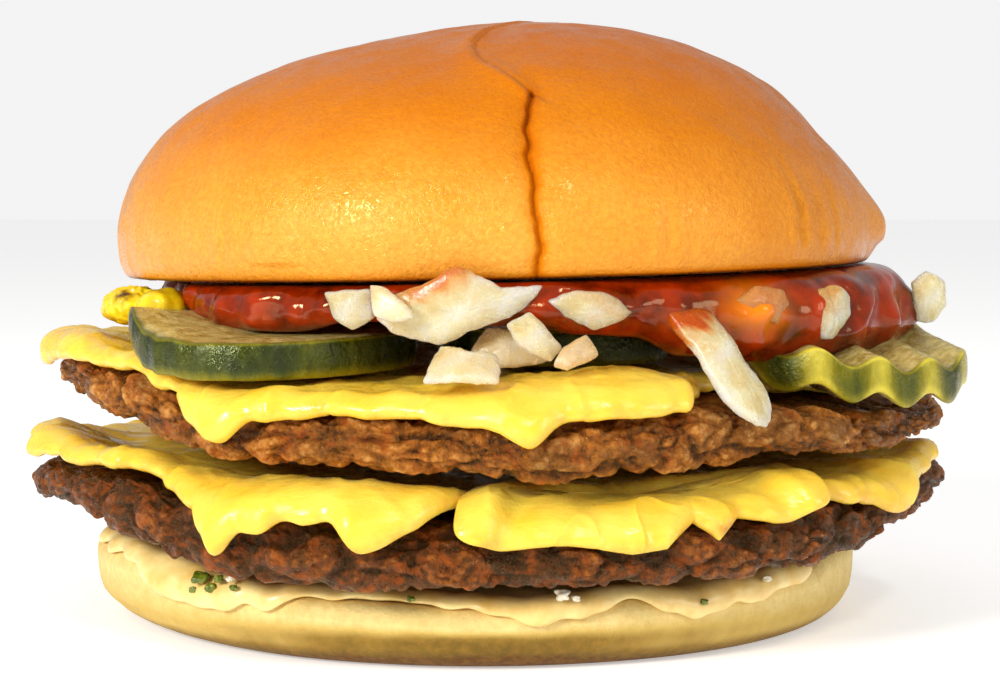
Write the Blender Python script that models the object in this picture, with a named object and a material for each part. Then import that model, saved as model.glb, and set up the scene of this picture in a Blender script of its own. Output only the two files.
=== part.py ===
"""A double cheeseburger at its real size, each separate layer and topping a closed solid.

All sizes are in millimetres and are turned into metres when a mesh is made.
The origin is on the table under the burger, +Z is up, and -Y is the side it is served from.
An azimuth runs anticlockwise from above: 0 is right, 90 back, 180 left and 270 front.
"""

import math

import bpy
import numpy as np
from mathutils import Vector, noise

WHOLE = "cheeseburger"
MM = 0.001
FRONT = 270.0
GAP = 0.35
SPREAD_GAP = 0.5
SAUCE_GAP = 0.65

# Steps round each kind of solid, and round the hidden inner rings of a flat one.
PATTY_STEPS = 88
SLICE_STEPS = 64
CROWN_STEPS = 56
ROUND_STEPS = 48
PICKLE_STEPS = 24
INNER_STEPS = 20
OVER_INNER_STEPS = 16

CROWN_CENTRE = (0.1, 0.0)
CROWN_R = 50.0
CROWN_UNDERSIDE_Z = 44.5
CROWN_WIDEST_Z = 48.8
CROWN_TOP_Z = 76.5
CROWN_RIGHT_LIFT = 1.1
# The dome leans: its apex lies right of its middle, and its right shoulder is flatter, with a torn bulge.
CROWN_APEX_SHIFT = 6.0
CROWN_SHOULDER_DIP = 1.7
CROWN_TEAR = {"azimuth": 352.0, "z": 50.0, "width": 4.5, "height": 2.0}
CREASE_DEPTH = 1.6
CREASE_WIDTH = 1.3
# The crease: azimuth and height of each point from the rim up to the seam that it fades into, and the seam's.
CREASE = (
    (275.1, 44.0), (275.4, 48.0), (274.5, 52.0), (274.9, 54.5), (274.4, 58.5), (274.0, 62.6), (274.7, 66.0),
)
SEAM = ((274.7, 66.0), (268.5, 68.5), (263.1, 69.9), (252.8, 73.7))
SEAM_STEP = 0.35

HEEL_CENTRE = (-2.6, 0.0)
HEEL_R = 49.5
HEEL_TOP_Z = 10.3
HEEL_CORNER = 2.0
HEEL_FOOT_R = 43.5
HEEL_FOOT_RISE = 6.0
HEEL_LEFT_TUCK = 3.0

PATTY_T = 7.6
CRAG_DEPTH = 1.6
CHEESE_T = 1.6
SAUCE_T = 1.0
PAST_CORNER = 99.0
PICKLE_T = 4.3
PICKLE_PIVOT = 0.75
CRINKLE_HEIGHT = 0.8
CRINKLE_PITCH = 7.2
CRINKLE_SHIFT = 1.9

# For each azimuth, rim_z is the height of the middle of the rim and rim_t its thickness.
LOWER_PATTY = {
    "centre": (-1.6, 0.0),
    "radius": 58.4,
    "middle_z": 15.8,
    "rim_z": {
        0: 17.4, 60: 14.6, 110: 14.2, 160: 16.6, 183: 17.8, 193: 17.8, 207: 18.7, 220: 17.8, 230: 15.4,
        240: 14.1, 255: 13.6, 270: 13.2, 300: 13.8, 325: 14.7, 334: 16.4, 349: 17.8,
    },
    "rim_t": {
        0: 7.6, 60: 9.0, 160: 7.5, 191: 6.0, 207: 6.6, 220: 10.2, 240: 9.6, 270: 9.4, 300: 8.8,
        325: 8.6, 340: 7.4,
    },
    "bulges": {191: 1.2, 352: 2.0, 226: -0.6, 269: -2.4, 286: -1.6, 95: -2.4, 140: -1.0},
    "seed": 3.1,
}
UPPER_PATTY = {
    "centre": (0.3, 0.0),
    "radius": 58.2,
    "middle_z": 28.2,
    "rim_z": {
        0: 27.0, 45: 26.6, 90: 27.2, 135: 29.3, 180: 31.8, 205: 31.8, 218: 30.2, 226: 28.1, 234: 26.9,
        248: 26.6, 264: 25.9, 275: 25.6, 305: 26.6, 325: 25.5, 340: 25.9,
    },
    "rim_t": {
        0: 5.8, 45: 7.5, 90: 8.4, 135: 8.0, 180: 7.0, 205: 6.4, 218: 8.4, 226: 7.6, 234: 7.2, 250: 7.6,
        264: 7.8, 275: 9.2, 306: 8.0, 325: 6.2, 340: 5.4,
    },
    "bulges": {200: -0.8, 301: -2.6, 340: 0.6, 60: 1.0, 92: -0.8, 120: -1.2},
    "seed": 8.7,
}

# How far each slice hangs past the widest line of the patty's rim. A negative value stops short of it.
UPPER_HANG = {
    0: -5, 20: -2, 42: 1.5, 62: -4, 88: -6, 112: 0.8, 130: 2.2, 150: -3, 172: -2.5, 190: -0.6,
    204: -1.8, 217: -4.2, 228: -4.4, 233: -1.4, 238.2: 0.8, 242: -2.2, 250: -3.4, 260: -3.4, 267: -2.8,
    273: -1.0, 278: -3.4, 284: -3.4, 291: -3.4, 296: -8, 303: -17, 320: -21, 340: -14,
}
UNDER_HANG = {
    0: -8, 20: -5, 45: 1.6, 70: -3.5, 92: -5.5, 115: -4, 137: 2.2, 160: -3, 178: -5.0, 186: -3.8,
    193: -3.8, 199: -2.4, 209: -3.2, 217: -5.0, 224: -6.4, 230: -5.0, 235: -3.4, 238: -1.4, 240: 0.0,
    243.5: -1.8, 248: -3.0, 252.5: -3.4, 257.5: -1.0, 262: -2.8, 269: -8, 275: -17, 290: -19, 304: -17,
    312: -7.0, 320: -3.4, 330: -0.6, 336: -2.6, 346: -3.0,
}
# Where a slice has puffed up off its patty: azimuth, width in degrees, height and the run of its rise.
RIM_PUFF = (46.0, 56.0, 57.0, 61.5)
FRONT_PUFF = (43.0, 48.5, 50.0, 58.0)
UPPER_PUFFS = ((196.0, 11.0, 1.4, RIM_PUFF), (285.0, 10.0, 2.9, FRONT_PUFF), (269.0, 10.0, 1.2, FRONT_PUFF))
UNDER_PUFFS = ((192.0, 14.0, 4.0, RIM_PUFF),)
PUFF_DROOP = 0.7
OVER_SLICE = {"azimuth": 289.6, "run": 51.0, "half_width": 23.0, "half_depth": 6.2, "squareness": 12,
              "lean": 6.0}
OVER_HANG = {-90: 0, -40: 0.4, -12: 1.6, 4: 1.4, 20: -1.4, 30: 1.2, 42: -1.0, 60: 0.6, 90: 1.4}

# Height of the sauce's lower edge on the heel's side. Over the heel's top it stays on the cut face.
SAUCE_LOW_Z = {
    0: 12, 30: 8, 55: 5.6, 80: 11, 110: 6.5, 135: 5.0, 160: 12, 185: 11, 198: 9.9, 212: 9.4, 222: 6.2,
    228: 5.8, 240: 6.6, 249: 8.1, 258: 8.2, 269: 7.4, 277: 5.7, 283: 6.2, 291: 7.8, 300: 5.7, 309: 6.8,
    322: 7.8, 333: 11,
}

# For each azimuth, how far out the ketchup comes and how low its rounded edge hangs.
KETCHUP_REACH = {
    0: 52.0, 25: 47.0, 60: 44.0, 85: 47.5, 110: 50.0, 130: 46.0, 165: 43.0, 195: 44.5, 208: 44.8,
    219: 47.5, 234: 49.4, 246: 48.6, 252: 48.6, 262: 50.4, 272: 50.2, 282: 49.4, 290: 49.0, 299: 49.6,
    308: 50.8, 318: 51.6, 330: 53.0, 345: 54.2,
}
KETCHUP_LOW_Z = {
    0: 36.5, 25: 39.5, 60: 41, 85: 39.5, 110: 37.5, 130: 40, 165: 41.5, 195: 41, 212: 40.5, 226: 38.0,
    240: 38.2, 250: 39.6, 262: 39.6, 272: 39.2, 282: 38.2, 289: 37.8, 298: 35.4, 308: 34.4, 318: 34.0,
    334: 34.0, 346: 34.6,
}
KETCHUP_MIDDLE_Z = 42.2
MUSTARD_BALLS = (
    (-44.6, -19.6, 40.3, 2.8, 5.0), (-39.4, -25.6, 40.4, 2.7, 4.6), (-47.0, -13.6, 40.1, 2.7, 4.2),
)

PICKLES = {
    "pickle_left": {
        "centre": (-27.0, -32.0), "radius": 17.4, "tilt": 0.0,
        "wave": 0.0, "turn": 0.0, "seed": 1.0,
    },
    "pickle_right": {
        "centre": (41.0, -21.0), "radius": 16.8, "tilt": 0.06,
        "wave": CRINKLE_HEIGHT, "turn": 14.0, "seed": 2.0,
    },
    "pickle_middle": {
        "centre": (6.8, -22.6), "radius": 14.4, "tilt": 0.0,
        "wave": 0.0, "turn": 0.0, "seed": 4.0,
    },
    "pickle_back_left": {
        "centre": (-24.0, 28.0), "radius": 17.0, "tilt": 0.0,
        "wave": CRINKLE_HEIGHT, "turn": 150.0, "seed": 5.0,
    },
    "pickle_back_right": {
        "centre": (19.0, 33.5), "radius": 17.6, "tilt": 0.0,
        "wave": 0.0, "turn": 0.0, "seed": 6.0,
    },
}

# Each piece of diced onion: azimuth, distance from the axis and height of its middle, then how its top leans
# out, how it rolls clockwise as seen from outside and how it turns to its right, and last its corners.
ONIONS = {
    "onion_01": (249.9, 49.3, 41.2, 8, 0, 0,
                 ((-2.7, 1.8), (2.7, 2.2), (3.2, -1.1), (0.6, -2.4), (-1.6, -1.2))),
    "onion_02": (257.6, 54.3, 42.1, -10, 0, -12,
                 ((-2.7, 1.9), (-1.1, 1.8), (1.9, -0.2), (2.8, -1.5), (0.6, -2.2), (-1.9, -1.5))),
    "onion_03": (264.8, 51.8, 41.1, 8, 0, 6,
                 ((-9.2, -0.3), (-7.0, 1.5), (-2.8, 3.2), (0.3, 5.2), (5.0, 2.5), (9.9, 2.4), (7.2, -0.4),
                  (1.7, -2.2), (-1.4, -3.8), (-6.6, -2.8))),
    "onion_04": (274.6, 51.2, 38.3, -14, 0, 8,
                 ((-3.1, 1.4), (-0.4, 2.8), (3.1, -1.2), (1.7, -2.8), (-1.8, -1.2))),
    "onion_05": (271.6, 48.2, 36.9, -20, 0, 0,
                 ((-3.9, 0.6), (-2.5, 2.3), (-0.3, 2.1), (4.4, -1.0), (3.7, -1.7), (1.7, -2.0), (-1.4, -2.4),
                  (-4.4, -1.2))),
    "onion_06": (265.7, 54.6, 35.4, -58, 0, 0,
                 ((-3.9, -2.6), (-2.5, 3.1), (-0.9, 3.0), (1.3, 1.4), (4.1, 1.8), (4.3, -2.4), (0.8, -2.7))),
    "onion_07": (279.3, 53.1, 36.6, -40, 0, 0,
                 ((-2.6, -1.4), (-1.4, 0.6), (1.6, 2.4), (2.6, -0.2), (-1.1, -2.2))),
    "onion_08": (282.4, 49.8, 41.1, 10, 0, 0,
                 ((-5.1, 1.0), (-2.0, 2.3), (1.6, 1.9), (5.0, -0.2), (2.1, -1.6), (0.0, -2.2), (-3.5, -0.6))),
    "onion_09": (298.4, 53.0, 36.0, -37, 0, 0,
                 ((-5.1, 7.4), (-3.1, 8.8), (0.4, 6.6), (2.2, 1.7), (3.0, -1.0), (4.4, -5.6), (3.8, -8.4),
                  (1.6, -8.9), (-1.8, -5.6), (-3.2, 1.1))),
    "onion_10": (319.4, 51.6, 40.0, -4, 0, -16,
                 ((-2.6, -0.3), (-1.5, 2.8), (1.2, 3.4), (3.2, 2.0), (3.0, -0.3), (0.2, -3.0), (-1.5, -2.8))),
    "onion_11": (345.4, 56.2, 41.3, 2, 0, -62,
                 ((-2.3, 1.6), (-0.4, 3.2), (2.1, 1.9), (2.3, -1.2), (0.6, -3.4), (-1.5, -3.2))),
    "onion_12": (307.6, 50.4, 41.2, -4, 0, 0,
                 ((-4.0, 0.8), (-1.3, 2.3), (2.7, 1.9), (4.2, 0.0), (2.0, -2.1), (-2.2, -1.6))),
    "onion_13": (69.5, 49.4, 40.6, -80, 0, 20,
                 ((-4.6, 1.0), (-1.0, 3.0), (4.4, 1.6), (3.2, -2.0), (-2.0, -2.6))),
    "onion_14": (92.0, 54.6, 36.4, -50, -15, 0,
                 ((-3.6, -1.6), (-2.0, 2.8), (3.4, 2.2), (4.0, -1.8), (0.4, -3.0))),
    "onion_15": (112.0, 49.8, 41.2, -76, 0, 12,
                 ((-3.0, 1.2), (0.8, 2.6), (3.4, 0.4), (1.4, -2.4), (-2.2, -1.8))),
    "onion_16": (170.0, 51.0, 38.2, -72, 0, -8,
                 ((-4.2, 0.6), (0.2, 2.2), (4.4, 1.0), (2.4, -1.6), (-2.4, -1.8))),
}
ONION_T = 2.2
ONION_BEND_R = 17.0

CRUST = ("crust", (0.72, 0.33, 0.06), 0.42)
CRUMB = ("crumb", (0.83, 0.68, 0.36), 0.7)
MEAT = ("meat", (0.13, 0.05, 0.02), 0.45)
CHEESE = ("cheese", (0.95, 0.66, 0.09), 0.3)
PICKLE = ("pickle", (0.17, 0.19, 0.02), 0.25)
ONION = ("onion", (0.84, 0.72, 0.45), 0.25)
KETCHUP = ("ketchup", (0.36, 0.02, 0.004), 0.15)
MUSTARD = ("mustard", (0.92, 0.72, 0.03), 0.3)
SAUCE = ("sauce", (0.82, 0.6, 0.25), 0.3)


def start_scene():
    """Empties the scene and adds the empty that carries every piece."""
    for obj in list(bpy.data.objects):
        bpy.data.objects.remove(obj, do_unlink=True)
    bpy.context.scene.collection.objects.link(bpy.data.objects.new(WHOLE, None))


def material(look):
    """A plain material of that name, colour and roughness."""
    name, colour, roughness = look
    made = bpy.data.materials.get(name)
    if made is None:
        made = bpy.data.materials.new(name)
        made.use_nodes = True
        shader = made.node_tree.nodes["Principled BSDF"]
        shader.inputs["Base Color"].default_value = (*colour, 1.0)
        shader.inputs["Roughness"].default_value = roughness
        shader.inputs["Metallic"].default_value = 0.0
        made.diffuse_color = (*colour, 1.0)
    return made


def smoothstep(low, high, value):
    t = np.clip((value - low) / (high - low), 0.0, 1.0)
    return t * t * (3 - 2 * t)


def around(table, azimuth):
    """The table's value at an azimuth in degrees, joined smoothly from entry to entry."""
    keys = sorted(table)
    azimuth = np.asarray(azimuth, float) % 360
    at = np.array([keys[-1] - 360, *keys, keys[0] + 360], float)
    values = np.array([table[keys[-1]], *(table[k] for k in keys), table[keys[0]]], float)
    i = np.clip(np.searchsorted(at, azimuth, side="right") - 1, 0, len(at) - 2)
    t = (azimuth - at[i]) / (at[i + 1] - at[i])
    t = t * t * (3 - 2 * t)
    return values[i] * (1 - t) + values[i + 1] * t


def angle_between(a, b):
    return (np.asarray(a) - b + 180) % 360 - 180


def bell(distance, width):
    return np.exp(-((distance / width) ** 2))


def ripple(points, size, seed):
    """Smooth noise from -1 to 1 at each point, with features of about that size."""
    shift = Vector((seed * 13.7, seed * 5.3, seed * 9.1))
    flat = np.asarray(points, float).reshape(-1, 3) / size
    values = [noise.noise(Vector(p) + shift) for p in flat]
    return np.clip(np.array(values).reshape(np.shape(points)[:-1]) * 1.6, -1, 1)


def azimuths(count):
    return np.arange(count) * 360.0 / count


def polar(centre, azimuth, radius, z):
    a = np.radians(azimuth)
    x = centre[0] + radius * np.cos(a)
    y = centre[1] + radius * np.sin(a)
    return np.stack([x, y, np.broadcast_to(z, np.shape(x))], axis=-1)


def band(upper, upper_count, lower, lower_count):
    """Triangles between two rings of points, each given by the number of its first point and its count."""
    faces = []
    i = j = 0
    while i < upper_count or j < lower_count:
        here, there = upper + i % upper_count, lower + j % lower_count
        if j == lower_count or (i < upper_count and (i + 1) / upper_count <= (j + 1) / lower_count):
            faces.append((here, there, upper + (i + 1) % upper_count))
            i += 1
        else:
            faces.append((here, there, lower + (j + 1) % lower_count))
            j += 1
    return faces


def add_solid(name, rings, top, bottom, look):
    """A closed skin of rings of points from top to bottom, capped by two poles."""
    points = [np.asarray(top, float)]
    starts = []
    for ring in rings:
        starts.append(len(points))
        points.extend(np.asarray(ring, float))
    last = len(points)
    points.append(np.asarray(bottom, float))
    counts = [len(ring) for ring in rings]
    faces = [(0, 1 + i, 1 + (i + 1) % counts[0]) for i in range(counts[0])]
    for k in range(len(rings) - 1):
        faces += band(starts[k], counts[k], starts[k + 1], counts[k + 1])
    faces += [(starts[-1] + i, last, starts[-1] + (i + 1) % counts[-1]) for i in range(counts[-1])]
    mesh = bpy.data.meshes.new(name)
    origin = (points[0] + points[-1]) / 2
    mesh.from_pydata([tuple((p - origin) * MM) for p in points], [], faces)
    mesh.materials.append(material(look))
    obj = bpy.data.objects.new(name, mesh)
    obj.location = origin * MM
    obj.parent = bpy.data.objects[WHOLE]
    bpy.context.scene.collection.objects.link(obj)
    return obj


def patty_radius(patty, azimuth):
    """The outline: a circle with soft bulges and a slow, uneven wave."""
    radius = np.full(np.shape(azimuth), patty["radius"], float)
    for at, size in patty["bulges"].items():
        radius = radius + size * bell(angle_between(azimuth, at), 9.0)
    return radius + 0.6 * ripple(polar((0, 0), azimuth, 20.0, 0.0), 6.0, patty["seed"])


def patty_rim(patty, azimuth):
    """Half of the rim's thickness, which is also the radius of its rounding."""
    return around(patty["rim_t"], azimuth) / 2


def patty_middle_z(patty, azimuth, share):
    """Height of the patty's mid-surface, where share is the distance from its axis over its radius."""
    rise = around(patty["rim_z"], azimuth) - patty["middle_z"]
    return patty["middle_z"] + rise * np.where(rise > 0, share**4, share**1.8)


def patty_half(patty, azimuth, share):
    """Half of the patty's thickness there."""
    return PATTY_T / 2 + (patty_rim(patty, azimuth) - PATTY_T / 2) * share**2


def patty_polar(patty, x, y):
    """Azimuth of a place as seen from the patty's axis, and its distance from that axis."""
    dx, dy = x - patty["centre"][0], y - patty["centre"][1]
    return np.degrees(np.arctan2(dy, dx)) % 360, np.hypot(dx, dy)


def patty_face_z(patty, x, y, side):
    """Height of the patty's upper (side 1) or lower (side -1) face, without the rounding of its rim."""
    azimuth, reach = patty_polar(patty, x, y)
    share = reach / patty_radius(patty, azimuth)
    return patty_middle_z(patty, azimuth, share) + side * patty_half(patty, azimuth, share)


def crags(points, patty):
    """How far the browned surface lies under its smooth envelope: lumps parted by crevices."""
    lumps = np.abs(ripple(points, 7.0, patty["seed"])) ** 0.6
    grains = 0.5 + 0.5 * ripple(points, 3.5, patty["seed"] + 20)
    return CRAG_DEPTH * np.clip(1.0 - 0.75 * lumps - 0.25 * grains, 0.0, 1.0)


def patty_ring(patty, azimuth, out, angle):
    """A ring of the craggy skin: out is its share of the flat part, angle its place on the rim's rounding."""
    radius, rim = patty_radius(patty, azimuth), patty_rim(patty, azimuth)
    rise, outward = math.sin(math.radians(angle)), math.cos(math.radians(angle))
    reach = (radius - rim) * out + rim * outward
    share = reach / radius
    z = patty_middle_z(patty, azimuth, share) + rise * patty_half(patty, azimuth, share)
    depth = crags(polar(patty["centre"], azimuth, reach, z), patty)
    return polar(patty["centre"], azimuth, reach - depth * outward, z - depth * rise)


def build_patty(name, patty):
    fine, inner = azimuths(PATTY_STEPS), azimuths(INNER_STEPS)
    rings = [patty_ring(patty, inner, 0.5, 90), patty_ring(patty, fine, 0.86, 90)]
    rings += [patty_ring(patty, fine, 1.0, angle) for angle in (80, 45, 15, -15, -45, -80)]
    rings += [patty_ring(patty, inner, 0.7, -90)]
    x, y = patty["centre"]
    top_z = patty["middle_z"] + PATTY_T / 2 - CRAG_DEPTH / 2
    bottom_z = patty["middle_z"] - PATTY_T / 2 + CRAG_DEPTH / 2
    add_solid(name, rings, (x, y, top_z), (x, y, bottom_z), MEAT)


def drape(patty, azimuth, run, lift):
    """A point that far along the way out over the patty's top, round its rim and down, lifted off it."""
    radius, rim = patty_radius(patty, azimuth), patty_rim(patty, azimuth)
    flat = radius - rim
    turn = np.clip((run - flat) / rim, 0, math.pi / 2)
    fall = np.maximum(run - flat - rim * math.pi / 2, 0)
    reach = np.minimum(run, flat) + rim * np.sin(turn)
    share = reach / radius
    z = patty_middle_z(patty, azimuth, share) + patty_half(patty, azimuth, share) * np.cos(turn) - fall
    return polar(patty["centre"], azimuth, reach + lift * np.sin(turn), z + lift * np.cos(turn))


def widest_run(patty, azimuth):
    """How far the way over the patty runs to the widest line of its rim."""
    rim = patty_rim(patty, azimuth)
    return patty_radius(patty, azimuth) - rim + rim * math.pi / 2


def slice_edge(patty, hang, azimuth):
    return widest_run(patty, azimuth) + around(hang, azimuth)


def puff(puffs, azimuth, run):
    """How far a slice stands off the patty: it rises on the way out and droops back at its edge."""
    risen = 0.0
    for at, width, height, (start, high, fold, end) in puffs:
        profile = smoothstep(start, high, run) * (1 - PUFF_DROOP * smoothstep(fold, end, run))
        risen = risen + height * bell(angle_between(azimuth, at), width) * profile
    return risen


def slice_skin(name, patty, outline, base, poles):
    """A draped slice with a rounded edge. outline gives azimuth and run at that share of the way out."""
    thick = (1.0, 1.0, 1.0, 0.95, 0.7)
    shares = (0.62, 0.85, 0.92, 0.965, 0.99)
    rings = []
    for share, full in zip(shares, thick):
        azimuth, run = outline(share, share < 0.7)
        rings.append(drape(patty, azimuth, run, base(azimuth, run) + CHEESE_T * full))
    for share in (1.0, 0.95, 0.87, 0.62):
        azimuth, run = outline(share, share < 0.7)
        rings.append(drape(patty, azimuth, run, base(azimuth, run)))
    add_solid(name, rings, poles[0], poles[1], CHEESE)


def build_slice(name, patty, hang, puffs):
    """A melted slice over the whole patty, hanging over the rim as the table says."""
    def outline(share, inner):
        azimuth = azimuths(INNER_STEPS if inner else SLICE_STEPS)
        return azimuth, slice_edge(patty, hang, azimuth) * share

    def base(azimuth, run):
        return SPREAD_GAP + puff(puffs, azimuth, run)

    x, y = patty["centre"]
    z = patty["middle_z"] + PATTY_T / 2 + SPREAD_GAP
    slice_skin(name, patty, outline, base, ((x, y, z + CHEESE_T), (x, y, z)))


def over_outline(share, steps):
    """The outline of the folded slice, scaled by that share: azimuth and run of each point."""
    turn = azimuths(steps)
    wide = np.cos(np.radians(turn)) / OVER_SLICE["half_width"]
    deep = np.sin(np.radians(turn)) / OVER_SLICE["half_depth"]
    power = OVER_SLICE["squareness"]
    size = (np.abs(wide) ** power + np.abs(deep) ** power) ** (-1 / power)
    along = size * np.cos(np.radians(turn))
    out = -size * np.sin(np.radians(turn))
    waves = np.interp(along / OVER_SLICE["half_width"] * 90, list(OVER_HANG), list(OVER_HANG.values()))
    inward = 0.5 - 0.5 * out / OVER_SLICE["half_depth"]
    along = along + OVER_SLICE["lean"] * inward * smoothstep(0, OVER_SLICE["half_width"], -along)
    out = out + smoothstep(0, OVER_SLICE["half_depth"], out) * waves
    run = OVER_SLICE["run"] + out * share
    return (OVER_SLICE["azimuth"] + np.degrees(along * share / run)) % 360, run


def over_base(azimuth, run):
    """How high the folded slice lies over the patty: higher where it lies on the slice under it."""
    under_edge = slice_edge(LOWER_PATTY, UNDER_HANG, azimuth)
    return SPREAD_GAP + smoothstep(-11.0, -5.0, under_edge - run) * (CHEESE_T + GAP)


def build_over_slice():
    def outline(share, inner):
        return over_outline(share, OVER_INNER_STEPS if inner else ROUND_STEPS)

    azimuth, run = np.array(OVER_SLICE["azimuth"]), np.array(OVER_SLICE["run"])
    lift = over_base(azimuth, run)
    poles = (drape(LOWER_PATTY, azimuth, run, lift + CHEESE_T), drape(LOWER_PATTY, azimuth, run, lift))
    slice_skin("cheese_lower_over", LOWER_PATTY, outline, over_base, poles)


def topping_floor(x, y):
    """Height of what the toppings lie on: the upper slice, and the bare patty where the slice stops short."""
    azimuth, reach = patty_polar(UPPER_PATTY, x, y)
    edge = np.minimum(slice_edge(UPPER_PATTY, UPPER_HANG, azimuth), patty_radius(UPPER_PATTY, azimuth))
    covered = 1 - smoothstep(0.5, 7.0, reach - edge)
    return patty_face_z(UPPER_PATTY, x, y, 1) + covered * (SPREAD_GAP + CHEESE_T)


def crown_underside_z(x):
    share = (x - CROWN_CENTRE[0]) / CROWN_R
    return CROWN_UNDERSIDE_Z + CROWN_RIGHT_LIFT * share


def line_distance(azimuth, z, radius, line):
    """Distance over the surface from each point to a line of azimuths and heights, and the side it is on."""
    x, y = np.radians(angle_between(azimuth, FRONT)) * radius, z
    best, side = np.full(np.shape(x), 1e9), np.zeros(np.shape(x))
    for (a0, z0), (a1, z1) in zip(line[:-1], line[1:]):
        x0, x1 = (math.radians(a - FRONT) * radius for a in (a0, a1))
        dx, dy = x1 - x0, z1 - z0
        t = np.clip(((x - x0) * dx + (y - z0) * dy) / (dx * dx + dy * dy), 0, 1)
        gap = np.hypot(x - x0 - t * dx, y - z0 - t * dy)
        closer = gap < best
        side = np.where(closer, np.sign(dx * (y - z0) - dy * (x - x0)), side)
        best = np.minimum(best, gap)
    return best, side


def crown_swell(azimuth, share, height, z):
    """How far the crust lies outside a plain dome: dough, the right shoulder, the tear and the crease."""
    right = np.clip(np.cos(np.radians(azimuth)), 0, 1) ** 2
    dip = CROWN_SHOULDER_DIP * right * (1 - smoothstep(0.5, 0.75, height))
    around_tear = np.radians(angle_between(azimuth, CROWN_TEAR["azimuth"])) * CROWN_R
    tear = bell(around_tear, CROWN_TEAR["width"]) * bell(z - CROWN_TEAR["z"], CROWN_TEAR["width"])
    tear = CROWN_TEAR["height"] * tear
    crease, _ = line_distance(azimuth, z, CROWN_R * share, CREASE)
    seam, side = line_distance(azimuth, z, CROWN_R * share, SEAM)
    step = SEAM_STEP * side * bell(seam, 3.0)
    dough = 0.4 * ripple(polar((0, 0), azimuth, CROWN_R * share, z), 26.0, 0.4)
    return dough - dip + tear + step - CREASE_DEPTH * bell(crease, CREASE_WIDTH)


def crown_ring(azimuth, angle):
    """A level of the crown's dome, at that many degrees down from its apex. Its widest line is at 90."""
    share, height = math.sin(math.radians(angle)), math.cos(math.radians(angle))
    z = CROWN_WIDEST_Z + (CROWN_TOP_Z - CROWN_WIDEST_Z) * height
    swell = crown_swell(azimuth, share, height, np.full(np.shape(azimuth), z))
    centre = (CROWN_CENTRE[0] + CROWN_APEX_SHIFT * height**5, CROWN_CENTRE[1])
    return polar(centre, azimuth, CROWN_R * share + swell * share, z + swell * height)


def crown_edge_ring(azimuth, inset, rise):
    """A level of the crown under its widest line, tucked in to its cut edge."""
    z = CROWN_UNDERSIDE_Z + rise
    swell = crown_swell(azimuth, 1.0, 0.0, np.full(np.shape(azimuth), z))
    ring = polar(CROWN_CENTRE, azimuth, CROWN_R - inset + swell, 0.0)
    ring[:, 2] = crown_underside_z(ring[:, 0]) + rise
    return ring


def build_crown():
    low = np.sort(np.concatenate([azimuths(CROWN_STEPS), [273.5, 275.2, 277.0]]))
    high, inner = azimuths(CROWN_STEPS // 2), azimuths(INNER_STEPS)
    rings = [crown_ring(high, angle) for angle in (14, 27)]
    rings += [crown_ring(low, angle) for angle in (38, 50, 61, 71, 81, 90)]
    rings += [crown_edge_ring(low, inset, rise) for inset, rise in ((0.2, 2.0), (0.9, 0.5), (2.0, 0.0))]
    underside = polar(CROWN_CENTRE, inner, CROWN_R / 2, 0.0)
    underside[:, 2] = crown_underside_z(underside[:, 0])
    rings.append(underside)
    top = (CROWN_CENTRE[0] + CROWN_APEX_SHIFT, CROWN_CENTRE[1], CROWN_TOP_Z)
    bottom = (*CROWN_CENTRE, CROWN_UNDERSIDE_Z)
    add_solid("bun_crown", rings, top, bottom, CRUST)


def heel_top_z(x, y):
    """The heel's cut face, pressed down wherever the patty sags onto it."""
    under_patty = patty_face_z(LOWER_PATTY, x, y, -1) - SAUCE_T - SAUCE_GAP - GAP
    return np.minimum(HEEL_TOP_Z, under_patty)


def heel_radius(azimuth):
    return HEEL_R + 0.5 * ripple(polar((0, 0), azimuth, 20.0, 5.0), 12.0, 6.0)


def heel_corner_z(azimuth):
    """Height of the cut face where its rounded corner begins."""
    corner = polar(HEEL_CENTRE, azimuth, heel_radius(azimuth) - HEEL_CORNER, 0.0)
    return heel_top_z(corner[..., 0], corner[..., 1])


def heel_face_ring(azimuth, share):
    ring = polar(HEEL_CENTRE, azimuth, (heel_radius(azimuth) - HEEL_CORNER) * share, 0.0)
    ring[:, 2] = heel_top_z(ring[:, 0], ring[:, 1])
    return ring


def build_heel():
    azimuth, inner = azimuths(ROUND_STEPS), azimuths(INNER_STEPS)
    radius, corner_z = heel_radius(azimuth), heel_corner_z(azimuth)
    rings = [heel_face_ring(inner, 0.6), heel_face_ring(azimuth, 0.92)]
    for angle in np.radians((90, 45, 0)):
        reach = radius - HEEL_CORNER + HEEL_CORNER * math.cos(angle)
        level = corner_z - HEEL_CORNER + HEEL_CORNER * math.sin(angle)
        rings.append(polar(HEEL_CENTRE, azimuth, reach, level))
    foot = HEEL_FOOT_R - HEEL_LEFT_TUCK * bell(angle_between(azimuth, 195.0), 40.0)
    for angle in np.radians((15, 40, 65, 90)):
        reach = foot + (radius - foot) * math.cos(angle)
        rings.append(polar(HEEL_CENTRE, azimuth, reach, HEEL_FOOT_RISE * (1 - math.sin(angle))))
    add_solid("bun_heel", rings, (*HEEL_CENTRE, heel_top_z(*HEEL_CENTRE)), (*HEEL_CENTRE, 0.0), CRUMB)


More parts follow.
